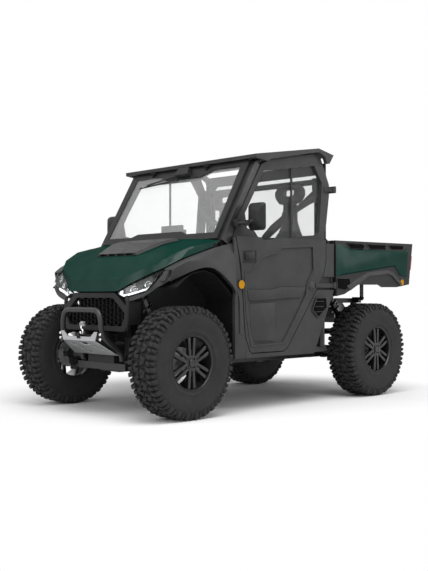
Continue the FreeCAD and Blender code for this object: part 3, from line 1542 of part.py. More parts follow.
def headlights():
    """The two lamps, wrapped round the corners of the nose."""
    sections = []
    for width, lower, upper in lamp_section_shares:
        y = hood_half_width * width
        x0, z0 = hood_point(lower)
        x1, z1 = hood_point(upper)
        z1 = z1 - panel_gap
        sections.append([V(x0, y, z0), V(x1, y, z1), V(x1 - lamp_depth, y, z1),
                         V(x0 - lamp_depth, y, z0)])
    return pair(skin(sections))


def flare():
    """The flare over a front tyre, from its nose end back to the door."""
    sections = []
    for place, shoulder, ridge, edge in flare_shares:
        x = front_axle_x + tyre_radius * place
        top_y, top_z = hood_edge(x)
        line = [(top_y + panel_gap, top_z - panel_gap)]
        for y, z in (shoulder, ridge, edge):
            line.append((flare_half_width * y, min(axle_height + tyre_radius * z,
                                                   top_z - panel_gap * 1.5)))
        drops = [(-0.25, -1), (-0.5, -1), (-1, -0.25), (-1, 0)]
        inner = [(y + dy * fender_skin, z + dz * fender_skin) for (y, z), (dy, dz) in zip(line, drops)]
        sections.append([V(x, y, z) for y, z in line + inner[::-1]])
    return skin(sections)


def lamp_band():
    """The fender's band under the lamp."""
    shift = V(-fender_skin, -fender_skin / 2, 0)
    sections = []
    for shares in lamp_band_shares:
        upper, lower = [V(cowl_x + nose_length * u, hood_half_width * v, nose_low + nose_height * w)
                        for u, v, w in shares]
        sections.append([upper, lower, lower + shift, upper + shift])
    return skin(sections)


def fender_panel():
    """The upright panel between the arch and the door, with the arch's lip."""
    arch_x = front_axle_x - tyre_radius * 1.142
    front_x = arch_x + fender_skin
    rear_x = door_rear_x + door_length * 0.91 + seat_gap
    top = belt_height - clearance
    inner_y = cab_half_width - side_panel_depth / 2
    door = grown_prism(door_outline(door_lower_shares), panel_gap, inner_y - overrun,
                       cab_half_width + overrun)
    panel = block(rear_x, front_x, inner_y, cab_half_width, sill_bottom, top).cut(door)
    lip = block(arch_x - fender_skin, arch_x + fender_skin * 2, cab_half_width - fender_skin,
                flare_half_width * 0.977,
                sill_bottom, axle_height + tyre_radius * 1.23)
    return [panel, lip]


def front_fenders():
    """The fenders: the band under each lamp, the flare and the panel ahead of the door."""
    return pair(joined([flare(), lamp_band()] + fender_panel()))


def wheel_liners():
    """The arched liners inside the front fenders."""
    outer = [(front_axle_x + tyre_radius * u, axle_height + tyre_radius * w) for u, w in liner_shares]
    inner = [(x + (liner_skin if u < -0.9 else 0), z - liner_skin) for (x, z),
             (u, w) in zip(outer, liner_shares)]
    return pair(side_prism(outer + inner[::-1], liner_inner_half,
                           cab_half_width - side_panel_depth / 2 - seat_gap))


def fascia_points(inset):
    """The fascia's front outline (y, z) on one side, moved inwards."""
    top = nose_low - panel_gap - inset
    low = top + inset * 2 - fascia_height
    half = fascia_half_width - inset
    return [(half * 0.62, top), (half, top - fascia_height * 0.38), (half, low + fascia_height * 0.2),
            (half * 0.9, low)]


def front_fascia():
    """The nose's plastic surround with a rounded bar at each side."""
    x1 = nose_x - clearance * 2
    x0 = x1 - fascia_depth
    ring_shape = front_prism(both_ways(fascia_points(0)), x0, x1)
    hole = front_prism(both_ways(fascia_points(fascia_bar_width)), x0 - overrun, x1 + overrun)
    surround = ring_shape.cut(hole)
    cheek = block(front_axle_x + arm_half_spread, x0 + fascia_depth / 2, fascia_half_width - fender_skin,
                  fascia_half_width,
                  nose_low - fascia_height * 0.85, nose_low - fascia_height * 0.2585)
    return joined([surround, cheek, mirrored(cheek)])


def grille():
    """The grille inside the surround: rows of six-sided cells over long slots."""
    x1 = nose_x - clearance * 2 - fascia_depth / 3
    x0 = x1 - grille_depth
    points = fascia_points(fascia_bar_width)
    field = front_prism(both_ways(points), x0, x1)
    top = points[0][1] - grille_bar
    row_rise = grille_cell * 0.75
    holes = []
    for row in range(grille_cell_rows):
        z = top - grille_cell * 0.45 - row_rise * row
        half = points[0][0] + (points[0][1] - z) - grille_cell * 0.6
        count = int(half / grille_cell + row / 2)
        for number in range(-count, count + 1 - row):
            y = grille_cell * (number + row / 2)
            cell = [(y + grille_cell * 0.4 * math.sin(math.pi * k / 3),
                     z + grille_cell * 0.4 * math.cos(math.pi * k / 3))
                    for k in range(6)]
            holes.append(front_prism(cell, x0 - overrun, x1 + overrun))
    low = points[-1][1] + grille_bar
    high = top - grille_cell * 0.45 - row_rise * (grille_cell_rows - 0.3)
    step = (high - low) / grille_bar_count
    half = points[-1][0] - grille_bar
    for number in range(grille_bar_count):
        z = low + step * number
        holes.append(block(x0 - overrun, x1 + overrun, -half, -grille_bar / 2, z, z + step - grille_bar))
        holes.append(block(x0 - overrun, x1 + overrun, grille_bar / 2, half, z, z + step - grille_bar))
    return field.cut(holes)


def bull_bar():
    """The looped tube ahead of the winch."""
    y = bull_bar_half_width
    foot_x = frame_front_x - bull_bar_diameter * 0.35
    foot_z = rail_top + seat_gap
    knee_z = skid_bend_height + overrun * 1.5
    shoulder_z = skid_top + overrun * 3
    half = [V(foot_x, y, foot_z), V(foot_x, y, foot_z + bull_bar_foot_rise),
            V(bull_bar_front - overrun, y, knee_z),
            V(bull_bar_front, y, shoulder_z), V(bull_bar_front, y * 0.7, bull_bar_top)]
    other = [V(spot.x, -spot.y, spot.z) for spot in reversed(half)]
    return bent_tube(half + other, bull_bar_diameter, round_sides)


def skid_plate():
    """The folded plate below the winch, with slots."""
    front = bull_bar_front + bull_bar_diameter / 2 + seat_gap
    horn = skid_half_width * 0.28
    dip = (skid_top - skid_bend_height) * 0.55
    upright_plate = front_prism(both_ways([(skid_half_width * 0.88, skid_bend_height),
                                           (skid_half_width, skid_top),
                                           (skid_half_width - horn * 0.6, skid_top),
                                           (skid_half_width - horn * 1.3, skid_top - dip)]),
                                front, front + skid_thickness)
    slope = [(front, skid_bend_height), (front + skid_thickness, skid_bend_height),
             (skid_foot_x + skid_thickness, skid_bottom), (skid_foot_x, skid_bottom)]
    apron = side_prism(slope, -skid_foot_half_width, skid_foot_half_width)
    plan = [(front + skid_thickness, -skid_half_width * 0.88),
            (front + skid_thickness, skid_half_width * 0.88),
            (skid_foot_x, skid_foot_half_width), (skid_foot_x, -skid_foot_half_width)]
    apron = apron.common(plan_prism(plan, skid_bottom - overrun, skid_top))
    depth = front - skid_foot_x
    slots = []
    for corner_shares in skid_slot_shares:
        outline = [(skid_foot_x + depth * u, skid_half_width * v) for u, v in corner_shares]
        slots.append(plan_prism(outline, skid_bottom - overrun, skid_bend_height))
    return joined([upright_plate, apron.cut(slots)])


def winch():
    """The winch between the bull bar's sides, its fairlead and its hook."""
    half = winch_length / 2
    low = winch_height - winch_end_radius
    nose = winch_x + winch_end_radius
    drum = flat_rod(V(winch_x, -half, winch_height), V(winch_x, half, winch_height), winch_drum_radius,
                    round_sides)
    ends = [flat_rod(V(winch_x, way * half / 2, winch_height), V(winch_x, way * half, winch_height),
                     winch_end_radius, slim_sides)
            for way in (-1, 1)]
    foot_low = low - winch_foot_thickness
    foot = block(frame_front_x - rail_size / 2, nose, -half, half, foot_low, low)
    leg = block(frame_front_x - rail_size / 2, frame_front_x, -half, half, rail_top, low)
    fairlead = block(nose - overrun, nose, -half * 0.6, half * 0.6, low, winch_height + winch_drum_radius)
    hook_x = bull_bar_front + bull_bar_diameter / 2 + seat_gap + skid_thickness + seat_gap
    hook_top = skid_top - overrun / 2
    tip = V(hook_x + hook_thickness / 2, 0, hook_top - hook_hole)
    rope = flat_rod(V(winch_x, 0, winch_height), tip, rope_radius, slim_sides)
    wide = hook_width / 2
    hook = block(hook_x, hook_x + hook_thickness, -wide, wide, hook_top - hook_height, hook_top)
    eye_top = hook_top - hook_hole * 2
    eye = block(hook_x - overrun, hook_x + overrun, -hook_hole / 2, hook_hole / 2, eye_top - hook_hole,
                eye_top)
    return joined([drum, foot, leg, fairlead, rope, hook] + ends).cut(eye)


# Cargo bed

def bed_outline(shares):
    """Part of the bed's side outline."""
    return spots(bed_rear_x, bed_side_bottom, bed_side_length, bed_side_height, shares)


def bed_lug(way):
    """A lug under the bed with the bore for its pivot pin."""
    y = way * (bed_pivot_half_width + clearance + pivot_ear_thickness)
    half = pivot_ear_thickness / 2
    wide = post_size / 2
    floor_low = bed_floor_height - bed_floor_thickness
    lug = block(bed_pivot_x - wide, bed_pivot_x + wide, y - half, y + half, bed_pivot_height, floor_low)
    eye = flat_rod(V(bed_pivot_x, y - half, bed_pivot_height), V(bed_pivot_x, y + half, bed_pivot_height),
                   wide, round_sides)
    bore = flat_rod(V(bed_pivot_x, y - overrun, bed_pivot_height),
                    V(bed_pivot_x, y + overrun, bed_pivot_height),
                    bed_pivot_radius + seat_gap, round_sides)
    return joined([lug, eye]).cut(bore)


def tailgate_socket():
    """The block on a bed side that carries the end of the tailgate's pin."""
    x, z = tailgate_axis()
    wall = tailgate_pin_radius + tailgate_gap
    socket = block(x - wall, x + bed_wall, tailgate_half_width + tailgate_gap, bed_inner_half, z - wall,
                   z + wall)
    bore = flat_rod(V(x, 0, z), V(x, bed_half_width - tail_lamp_inset, z), tailgate_pin_radius + seat_gap,
                    round_sides)
    return socket.cut(bore)


def bed_tub():
    """The cargo bed: floor, front wall and two sides, with stake slots and pivot lugs."""
    inner = bed_inner_half
    side = side_prism(bed_outline(bed_side_shares), inner, bed_half_width)
    for shares in bed_slot_shares:
        side = side.cut(side_prism(bed_outline(shares), inner + bed_wall / 2, bed_half_width + overrun))
    side = joined([side, tailgate_socket()])
    top = bed_side_bottom + bed_side_height * 0.976
    floor_low = bed_floor_height - bed_floor_thickness
    floor_rear = bed_rear_x + bed_wall * 1.4
    shapes = [side, mirrored(side), block(floor_rear, bed_front_x, -inner, inner, floor_low,
                                          bed_floor_height),
              block(bed_front_x - bed_wall * 0.7, bed_front_x, -inner, inner, floor_low, top), bed_lug(1),
              bed_lug(-1)]
    rib_rear = bed_rear_x + bed_wall * 2
    for number in range(-3, 4):
        y = number * inner / 4
        shapes.append(block(rib_rear, bed_front_x - bed_wall, y - bed_wall / 2, y + bed_wall / 2,
                            floor_low - bed_floor_thickness, floor_low))
    return joined(shapes)


def bed_side_covers():
    """The coloured panels on the bed's sides."""
    cover = side_prism(bed_outline(bed_cover_shares), bed_half_width,
                       bed_half_width + bed_cover_thickness)
    return pair(cover)


def tail_rake(z):
    """The bed's rear edge at a height."""
    low_x, low_z = bed_outline([(0.053, 0.219)])[0]
    high_x, high_z = bed_outline([(0.003, 1.0)])[0]
    return low_x + (high_x - low_x) * (z - low_z) / (high_z - low_z)


def tailgate_axis():
    """Where the tailgate's hinge pin stands (x, z), at the gate's inner foot."""
    low = tailgate_hinge_height
    return tail_rake(low) - tailgate_gap - tailgate_pin_radius, low + tailgate_pin_radius


def tailgate():
    """The gate across the bed's rear, with its hinge pin at its foot."""
    low = tailgate_hinge_height
    high = bed_side_bottom + bed_side_height
    rear = -body_length / 2
    outline = [(tail_rake(low) - tailgate_gap, low), (tail_rake(high) - tailgate_gap, high),
               (rear, high), (rear + tailgate_foot_taper, low)]
    gate = side_prism(outline, -tailgate_half_width, tailgate_half_width)
    pin_x, pin_z = tailgate_axis()
    reach = tailgate_half_width + tailgate_pin_reach
    root = tailgate_half_width - tailgate_pin_reach
    pins = [rod(V(pin_x, way * root, pin_z), V(pin_x, way * reach, pin_z), tailgate_pin_radius)
            for way in (-1, 1)]
    return joined([gate] + pins)


def tail_lamps():
    """The lamps on the rear ends of the bed's sides."""
    low = bed_side_bottom + bed_side_height * 0.5
    high = low + tail_lamp_height
    outline = [(tail_rake(low), low), (tail_rake(high), high),
               (tail_rake(high) - tail_lamp_depth, high), (tail_rake(low) - tail_lamp_depth, low)]
    return pair(side_prism(outline, bed_inner_half + tail_lamp_inset, bed_half_width - tail_lamp_inset))


def wiper():
    """The wiper's motor housing, arm and blade on the windshield."""
    slope = math.hypot(windshield_run, windshield_rise)
    top = slope - windshield_border * 0.55
    y0 = -wiper_motor_length / 2
    motor = windshield_panel([(y0, top - wiper_motor_height), (-y0, top - wiper_motor_height),
                              (-y0 * 0.8, top), (y0 * 0.8, top)],
                             -wiper_motor_depth, -seat_gap)
    arm_y = y0 + wiper_arm_width * 2
    arm = windshield_panel([(arm_y, top - wiper_motor_height * 0.5),
                            (arm_y, top - wiper_motor_height * 0.5 - wiper_arm_width),
                            (y0 - wiper_arm_length, top - wiper_motor_height * 1.6 - wiper_arm_width),
                            (y0 - wiper_arm_length, top - wiper_motor_height * 1.6)],
                           -wiper_arm_width * 1.6, -wiper_arm_width * 0.8)
    blade = windshield_panel([(y0 + wiper_arm_width, top - wiper_motor_height * 1.25),
                              (y0 + wiper_arm_width, top - wiper_motor_height * 1.25 - wiper_arm_width),
                              (y0 - wiper_blade_length,
                               top - wiper_motor_height * 1.85 - wiper_arm_width),
                               (y0 - wiper_blade_length, top - wiper_motor_height * 1.85)],
                             -wiper_arm_width, -seat_gap)
    return joined([motor, arm, blade])


pieces = {
    "frame": frame, "cab_frame": cab_frame, "front_frame": front_frame,
    "rear_frame": rear_frame, "roll_cage": roll_cage, "floor_tub": floor_tub, "dash": dash,
    "front_fascia": front_fascia, "grille": grille, "headlights": headlights,
    "front_fenders": front_fenders,
    "wheel_liners": wheel_liners, "hood": hood, "hood_scoop": hood_scoop, "bull_bar": bull_bar,
    "winch": winch,
    "skid_plate": skid_plate, "windshield_frame": windshield_frame, "cab_glass": cab_glass,
    "wiper": wiper,
    "roof": roof, "rear_panel": rear_panel, "seats": seats, "seat_belts": seat_belts,
    "steering_column": steering_column, "steering_wheel": steering_wheel,
    "suspension_arms": suspension_arms,
    "shocks": shocks, "half_shafts": half_shafts, "gearcases": gearcases, "tie_rods": tie_rods,
    "engine": engine,
    "exhaust": exhaust, "hitch": hitch, "side_panels": side_panels, "bed_tub": bed_tub,
    "bed_side_covers": bed_side_covers, "tailgate": tailgate, "tail_lamps": tail_lamps,
    "rear_knuckles": rear_knuckles,
}
sides = {"left": 1, "right": -1}

os.makedirs("parts", exist_ok=True)
for name, make in pieces.items():
    make().exportStep("parts/" + name + ".step")
for side, way in sides.items():
    door(way).exportStep("parts/door_" + side + ".step")
    door_glass(way).exportStep("parts/door_glass_" + side + ".step")
    mirror(way).exportStep("parts/mirror_" + side + ".step")
    knuckle = upright(front_axle_x, True)
    knuckle = knuckle if way > 0 else mirrored(knuckle)
    knuckle.exportStep("parts/knuckle_" + side + ".step")
    for end, x in (("front", front_axle_x), ("rear", rear_axle_x)):
        tyre(x, way * wheel_half_track).exportStep("parts/tyre_" + end + "_" + side + ".step")
        rim(x, way).exportStep("parts/rim_" + end + "_" + side + ".step")
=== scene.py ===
"""A two-seat side by side utility vehicle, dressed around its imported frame."""

import json
import math

import bmesh
import bpy
from mathutils import Matrix, Vector

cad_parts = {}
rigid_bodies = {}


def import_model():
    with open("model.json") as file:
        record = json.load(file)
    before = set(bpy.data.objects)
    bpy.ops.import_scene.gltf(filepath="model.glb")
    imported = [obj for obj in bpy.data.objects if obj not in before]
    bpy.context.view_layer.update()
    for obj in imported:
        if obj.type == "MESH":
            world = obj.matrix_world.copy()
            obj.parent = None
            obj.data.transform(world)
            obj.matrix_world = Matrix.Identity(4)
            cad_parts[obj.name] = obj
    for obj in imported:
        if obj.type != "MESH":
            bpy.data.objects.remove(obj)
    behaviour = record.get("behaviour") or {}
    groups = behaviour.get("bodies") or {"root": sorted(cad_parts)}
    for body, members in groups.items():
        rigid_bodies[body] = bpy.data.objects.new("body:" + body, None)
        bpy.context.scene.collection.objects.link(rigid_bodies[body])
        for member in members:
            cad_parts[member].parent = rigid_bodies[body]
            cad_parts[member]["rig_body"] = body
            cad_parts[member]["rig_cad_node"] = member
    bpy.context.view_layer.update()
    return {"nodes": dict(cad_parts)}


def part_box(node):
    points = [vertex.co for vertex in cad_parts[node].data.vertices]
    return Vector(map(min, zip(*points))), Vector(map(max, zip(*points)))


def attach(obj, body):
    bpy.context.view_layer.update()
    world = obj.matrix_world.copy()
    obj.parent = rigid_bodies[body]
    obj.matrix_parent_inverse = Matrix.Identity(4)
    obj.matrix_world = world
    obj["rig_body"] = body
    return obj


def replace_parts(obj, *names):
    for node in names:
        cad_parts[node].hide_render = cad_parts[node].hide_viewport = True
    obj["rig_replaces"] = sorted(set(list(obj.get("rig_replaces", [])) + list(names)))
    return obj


bl_info = {
    "name": "Side by side utility vehicle",
    "version": (1, 0, 0),
    "blender": (4, 5, 0),
    "location": "3D View > Sidebar > Utility vehicle",
    "description": "Dresses the packed frame of a two-seat utility vehicle",
    "category": "Add Mesh",
}

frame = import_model()
nodes = frame["nodes"]

# The photograph's height in pixels, and the camera solved from it, in metres and degrees
photo_height = 571
focal_pixels = 895.64
camera_place = (5.2109, 5.1245, 0.8533)
camera_yaw = -134.338
camera_pitch = 0.430

# Places taken from the frame, in metres
tyre_low, tyre_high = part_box("tyre_front_left")
rear_low, rear_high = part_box("tyre_rear_left")
tyre_radius = (tyre_high.z - tyre_low.z) / 2
axle_height = (tyre_high.z + tyre_low.z) / 2
front_axle_x = (tyre_high.x + tyre_low.x) / 2
rear_axle_x = (rear_high.x + rear_low.x) / 2
wheel_half_track = (tyre_high.y + tyre_low.y) / 2

# The two sides, the axis across them, and the turn that mirrors one side on the other
sides = {"left": 1, "right": -1}
across = Vector((0, 1, 0))
mirror_image = Matrix.Scale(-1, 4, across)

# How far out the door's face, the bed's face and a seat's middle are, in metres
door_face_y = 0.735
bed_face_y = 0.7402
seat_middle_y = 0.370

# What each CAD node that stays is made of
node_finishes = {
    "black_steel": ["frame", "cab_frame", "front_frame", "rear_frame", "suspension_arms", "hitch"],
    "cage_black": ["roll_cage"],
    "cast": ["gearcases", "engine", "rear_knuckles", "knuckle_left", "knuckle_right"],
    "spring_black": ["shocks"],
    "steel": ["steering_column", "half_shafts", "tie_rods", "exhaust"],
    "silver": ["skid_plate"],
    "dark_plastic": ["dash", "roof", "rear_panel", "side_panels", "door_left", "door_right"],
    "black_plastic": ["floor_tub", "front_fascia", "hood_scoop", "steering_wheel", "winch",
                      "windshield_frame", "wiper", "bed_tub", "tailgate"],
    "rubber": ["wheel_liners"],
    "webbing": ["seat_belts"],
    "red_lens": ["tail_lamps"],
    "windshield_glass": ["cab_glass"],
    "door_glass": ["door_glass_left", "door_glass_right"],
}

# How wide the small round on a CAD node's sharp edges is, in metres; glass has none
usual_edge = 0.0025
edge_widths = {"windshield_glass": 0.0, "door_glass": 0.0}


# Modelling, as by hand

def begin(name):
    """A new piece at the origin, in edit mode, with nothing in it."""
    bpy.ops.object.select_all(action="DESELECT")
    bpy.ops.object.add(type="MESH")
    piece = bpy.context.object
    piece.name = name
    bpy.ops.object.mode_set(mode="EDIT")
    return piece


def bevelled(width, segments=2):
    """Rounds the edges of what is selected."""
    bpy.ops.mesh.bevel(offset=width, segments=segments, affect="EDGES")


def closed(edge, segments):
    """Turns the faces of a new solid outwards and rounds its edges. It stays selected."""
    bpy.ops.mesh.select_linked()
    bpy.ops.mesh.normals_make_consistent(inside=False)
    if edge:
        bevelled(edge, segments)
        bpy.ops.mesh.select_linked()


def cuboid(low, high, edge=0.0, segments=2):
    """A box between two corners, with rounded edges. It stays selected."""
    bpy.ops.mesh.select_all(action="DESELECT")
    middle = (Vector(low) + Vector(high)) / 2
    bpy.ops.mesh.primitive_cube_add(size=1.0, location=middle)
    bpy.ops.transform.resize(value=Vector(high) - Vector(low), center_override=middle)
    if edge:
        bevelled(edge, segments)


def round_bar(start, end, radius, sides):
    """A round bar between two points. It stays selected."""
    bpy.ops.mesh.select_all(action="DESELECT")
    run = Vector(end) - Vector(start)
    bpy.ops.mesh.primitive_cone_add(vertices=sides, radius1=radius, radius2=radius, depth=run.length,
                                    location=(Vector(start) + Vector(end)) / 2,
                                    rotation=run.to_track_quat("Z", "Y").to_euler())


def ring(piece, points, filled=False):
    """A circle whose points are moved to an outline. It stays selected."""
    bpy.ops.mesh.select_mode(type="VERT")
    bpy.ops.mesh.select_all(action="DESELECT")
    bpy.ops.mesh.primitive_circle_add(vertices=len(points), radius=0.01,
                                      fill_type="NGON" if filled else "NOTHING")
    shape = bmesh.from_edit_mesh(piece.data)
    round_order = sorted((v for v in shape.verts if v.select), key=lambda v: math.atan2(v.co.y, v.co.x))
    for vertex, point in zip(round_order, points):
        vertex.co = point
    bmesh.update_edit_mesh(piece.data)


def prism(piece, points, run, edge=0.0, segments=2):
    """An outline extruded along a run, with rounded edges. It stays selected."""
    ring(piece, points, True)
    bpy.ops.mesh.extrude_region_move(TRANSFORM_OT_translate={"value": Vector(run)})
    closed(edge, segments)


def spun(piece, section, centre, axis, steps):
    """A closed section spun right round an axis. It stays selected."""
    ring(piece, section)
    bpy.ops.mesh.spin(steps=steps, angle=math.tau, center=centre, axis=axis)
    bpy.ops.mesh.select_linked()
    bpy.ops.mesh.remove_doubles(threshold=0.00001)
    bpy.ops.mesh.normals_make_consistent(inside=False)


def shaped_block(piece, corner, edge=0.0, segments=1):
    """A block whose eight corners go where corner puts them: outer or inner, far or near, high or low."""
    bpy.ops.mesh.select_all(action="DESELECT")
    bpy.ops.mesh.primitive_cube_add(size=2.0, location=(0, 0, 0))
    shape = bmesh.from_edit_mesh(piece.data)
    for vertex in [v for v in shape.verts if v.select]:
        vertex.co = corner(vertex.co.x > 0, vertex.co.y > 0, vertex.co.z > 0)
    bmesh.update_edit_mesh(piece.data)
    bpy.ops.mesh.normals_make_consistent(inside=False)
    if edge:
        bevelled(edge, segments)
    bpy.ops.mesh.select_linked()


def turned(piece, profile, place, way, steps=32):
    """A closed profile (distance from the axis, distance along it) turned about an axis through a place."""
    way = Vector(way).normalized()
    side = way.orthogonal().normalized()
    section = [Vector(place) + way * along + side * reach for reach, along in profile]
    spun(piece, section, place, way, steps)


def lofted(piece, rings, edge=0.0, segments=2):
    """Outlines of as many points each, joined one after the other and closed at both ends."""
    ring(piece, rings[0], True)
    before = [Vector(point) for point in rings[0]]
    for points in rings[1:]:
        bpy.ops.mesh.extrude_region_move(TRANSFORM_OT_translate={"value": (0, 0, 0)})
        shape = bmesh.from_edit_mesh(piece.data)
        for vertex in [v for v in shape.verts if v.select]:
            nearest = min(range(len(before)), key=lambda number: (before[number] - vertex.co).length_squared)
            vertex.co = points[nearest]
        bmesh.update_edit_mesh(piece.data)
        before = [Vector(point) for point in points]
    closed(edge, segments)


def boss(piece, foot, top, place, way, steps):
    """A bolt's head or a boss: the radius and height of its straight foot, then of its top."""
    radius, height = foot
    top_radius, top_height = top
    turned(piece, [(0.0, 0.0), (radius, 0.0), (radius, height), (top_radius, top_height), (0.0, top_height)],
           place, way, steps)


def framed(piece, outer, inner, run, edge=0.0, segments=2):
    """A flat frame between two outlines, given a thickness along a run, with rounded edges."""
    bpy.ops.mesh.select_all(action="DESELECT")
    ring(piece, inner)
    bpy.ops.mesh.hide(unselected=False)
    ring(piece, outer)
    bpy.ops.mesh.reveal(select=True)
    shape = bmesh.from_edit_mesh(piece.data)
    loose = [e for e in shape.edges if not e.link_faces]
    bpy.ops.mesh.select_all(action="DESELECT")
    for line in loose:
        line.select_set(True)
    bmesh.update_edit_mesh(piece.data)
    bpy.ops.mesh.select_mode(type="EDGE")
    bpy.ops.mesh.bridge_edge_loops()
    bpy.ops.mesh.extrude_region_move(TRANSFORM_OT_translate={"value": Vector(run)})
    closed(edge, segments)


def on_face(outline, y):
    """An outline (x, z) on the vehicle's side."""
    return [Vector((x, y, z)) for x, z in outline]


def shrunk(outline, share):
    """An outline drawn in towards its middle, or out from it by a share above one."""
    middle_x = sum(x for x, z in outline) / len(outline)
    middle_z = sum(z for x, z in outline) / len(outline)
    return [(middle_x + (x - middle_x) * share, middle_z + (z - middle_z) * share) for x, z in outline]


def rounded(y0, y1, z0, z1, x, radius, steps=4):
    """A rectangle with round corners, in a plane across the vehicle."""
    spots = []
    for corner_y, corner_z, start in ((y1 - radius, z1 - radius, 0.0), (y0 + radius, z1 - radius, 0.25),
                                      (y0 + radius, z0 + radius, 0.5), (y1 - radius, z0 + radius, 0.75)):
        for step in range(steps + 1):
            turn = math.tau * (start + 0.25 * step / steps)
            spots.append(Vector((x, corner_y + radius * math.cos(turn), corner_z + radius * math.sin(turn))))
    return spots


def repeated(count, centre, axis):
    """Copies of what is selected, all round an axis. They stay selected."""
    bpy.ops.mesh.spin(steps=count - 1, dupli=True, angle=math.tau * (count - 1) / count,
                      center=centre, axis=axis)


def moved_copy(move):
    """A copy of what is selected, moved. It stays selected."""
    bpy.ops.mesh.duplicate_move(TRANSFORM_OT_translate={"value": Vector(move)})


def mirror_all():
    """A mirror image of the whole piece, on the vehicle's other side."""
    bpy.ops.mesh.select_all(action="SELECT")
    bpy.ops.mesh.duplicate()
    bpy.ops.transform.resize(value=(1, -1, 1), center_override=(0, 0, 0))
    bpy.ops.mesh.flip_normals()


def finish(piece, body, finish_name, replaced=(), angle=30.0):
    """Leaves edit mode, shades the piece, gives it its finish and sets it on its body."""
    bpy.ops.mesh.select_mode(type="FACE")
    bpy.ops.mesh.select_all(action="DESELECT")
    bpy.ops.object.mode_set(mode="OBJECT")
    bpy.ops.object.shade_smooth_by_angle(angle=math.radians(angle))
    dress(piece, body, finish_name, replaced)
    return piece


def dress(piece, body, finish_name, replaced=()):
    """A finish, a body and a material slot for a piece."""
    piece.data.materials.clear()
    piece.data.materials.append(finishes[finish_name])
    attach(piece, body)
    if replaced:
        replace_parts(piece, *replaced)


def copied(piece, name, body, turn, replaced=()):
    """A copy of a finished piece with its own mesh, turned by a matrix and set on its body."""
    other = piece.copy()
    other.data = piece.data.copy()
    other.name = name
    bpy.context.scene.collection.objects.link(other)
    other.parent = None
    other.data.transform(turn)
    if turn.determinant() < 0:
        other.data.flip_normals()
    other.pop("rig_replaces", None)
    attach(other, body)
    if replaced:
        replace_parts(other, *replaced)
    return other


def mirrored(piece, body, replaced=()):
    """The right-hand copy of a left-hand piece, with its name to match."""
    return copied(piece, piece.name.replace("_left", "_right"), body, mirror_image, replaced)


def tube(name, points, radius, sides, angle=50.0):
    """A round tube along a smooth line, shaded, as a mesh piece in object mode."""
    line = bpy.data.curves.new(name, "CURVE")
    line.dimensions = "3D"
    line.bevel_depth = radius
    line.bevel_resolution = sides // 4 - 1
    line.use_fill_caps = True
    spline = line.splines.new("NURBS")
    spline.points.add(len(points) - 1)
    for spot, point in zip(spline.points, points):
        spot.co = (*point, 1.0)
    spline.order_u = 3
    spline.use_endpoint_u = True
    spline.resolution_u = 6
    piece = bpy.data.objects.new(name, line)
    bpy.context.scene.collection.objects.link(piece)
    bpy.ops.object.select_all(action="DESELECT")
    piece.select_set(True)
    bpy.context.view_layer.objects.active = piece
    bpy.ops.object.convert(target="MESH")
    bpy.ops.object.shade_smooth_by_angle(angle=math.radians(angle))
    return bpy.context.object


def smoothed(node, name, crease_degrees, levels=2, crease=0.85):
    """A copy of a CAD node as quads, its sharp edges creased and the rest subdivided smooth, in edit mode."""
    piece = nodes[node].copy()
    piece.data = nodes[node].data.copy()
    piece.name = name
    piece.parent = None
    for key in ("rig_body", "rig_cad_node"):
        piece.pop(key, None)
    piece.hide_render = False
    bpy.context.scene.collection.objects.link(piece)
    bpy.ops.object.select_all(action="DESELECT")
    piece.select_set(True)
    bpy.context.view_layer.objects.active = piece
    bpy.ops.object.mode_set(mode="EDIT")
    bpy.ops.mesh.select_all(action="SELECT")
    bpy.ops.mesh.remove_doubles(threshold=0.00005)
    bpy.ops.mesh.tris_convert_to_quads(face_threshold=math.radians(50), shape_threshold=math.radians(150))
    bpy.ops.mesh.select_mode(type="EDGE")
    bpy.ops.mesh.select_all(action="DESELECT")
    bpy.ops.mesh.edges_select_sharp(sharpness=math.radians(crease_degrees))
    bpy.ops.transform.edge_crease(value=crease)
    bpy.ops.object.mode_set(mode="OBJECT")
    rounding = piece.modifiers.new("rounding", "SUBSURF")
    rounding.levels = levels
    rounding.render_levels = levels
    bpy.ops.object.modifier_apply(modifier="rounding")
    bpy.ops.object.mode_set(mode="EDIT")
    return piece


finishes = {}


def dress_nodes():
    """Gives each frame part its finish, and its sharp edges a small round."""
    for name, parts in node_finishes.items():
        for part in parts:
            node = nodes[part]
            node.data.materials.clear()
            node.data.materials.append(finishes[name])
            for face in node.data.polygons:
                face.use_smooth = False
            width = edge_widths.get(name, usual_edge)
            if width:
                weld = node.modifiers.new("weld", "WELD")
                weld.merge_threshold = 0.00002
                rounding = node.modifiers.new("edges", "BEVEL")
                rounding.width = width
                rounding.segments = 2
                rounding.limit_method = "ANGLE"
                rounding.angle_limit = math.radians(28)
                rounding.harden_normals = False


# Finishes

def preset(node, **values):
    """Gives a node's inputs their values. An input's name has an underscore for each space."""
    for name, value in values.items():
        node.inputs[name.replace("_", " ")].default_value = value
    return node


def added(tree, kind, **values):
    """A new node with values for its inputs."""
    return preset(tree.nodes.new(kind), **values)


def mixed(tree, share, first, second):
    """Two shaders mixed, the second by its share."""
    mix = tree.nodes.new("ShaderNodeMixShader")
    tree.links.new(share, mix.inputs["Fac"])
    tree.links.new(first, mix.inputs[1])
    tree.links.new(second, mix.inputs[2])
    return mix.outputs["Shader"]


def surfaced(tree, result):
    """Makes a shader the surface of its material."""
    tree.links.new(result, tree.nodes["Material Output"].inputs["Surface"])


def shader(name, colour, roughness, metallic=0.0):
    """A new material and its nodes, with one Principled shader."""
    material = bpy.data.materials.new(name)
    material.use_nodes = True
    tree = material.node_tree
    surface = tree.nodes["Principled BSDF"]
    preset(surface, Base_Color=(*colour, 1.0), Roughness=roughness, Metallic=metallic)
    return material, tree, surface


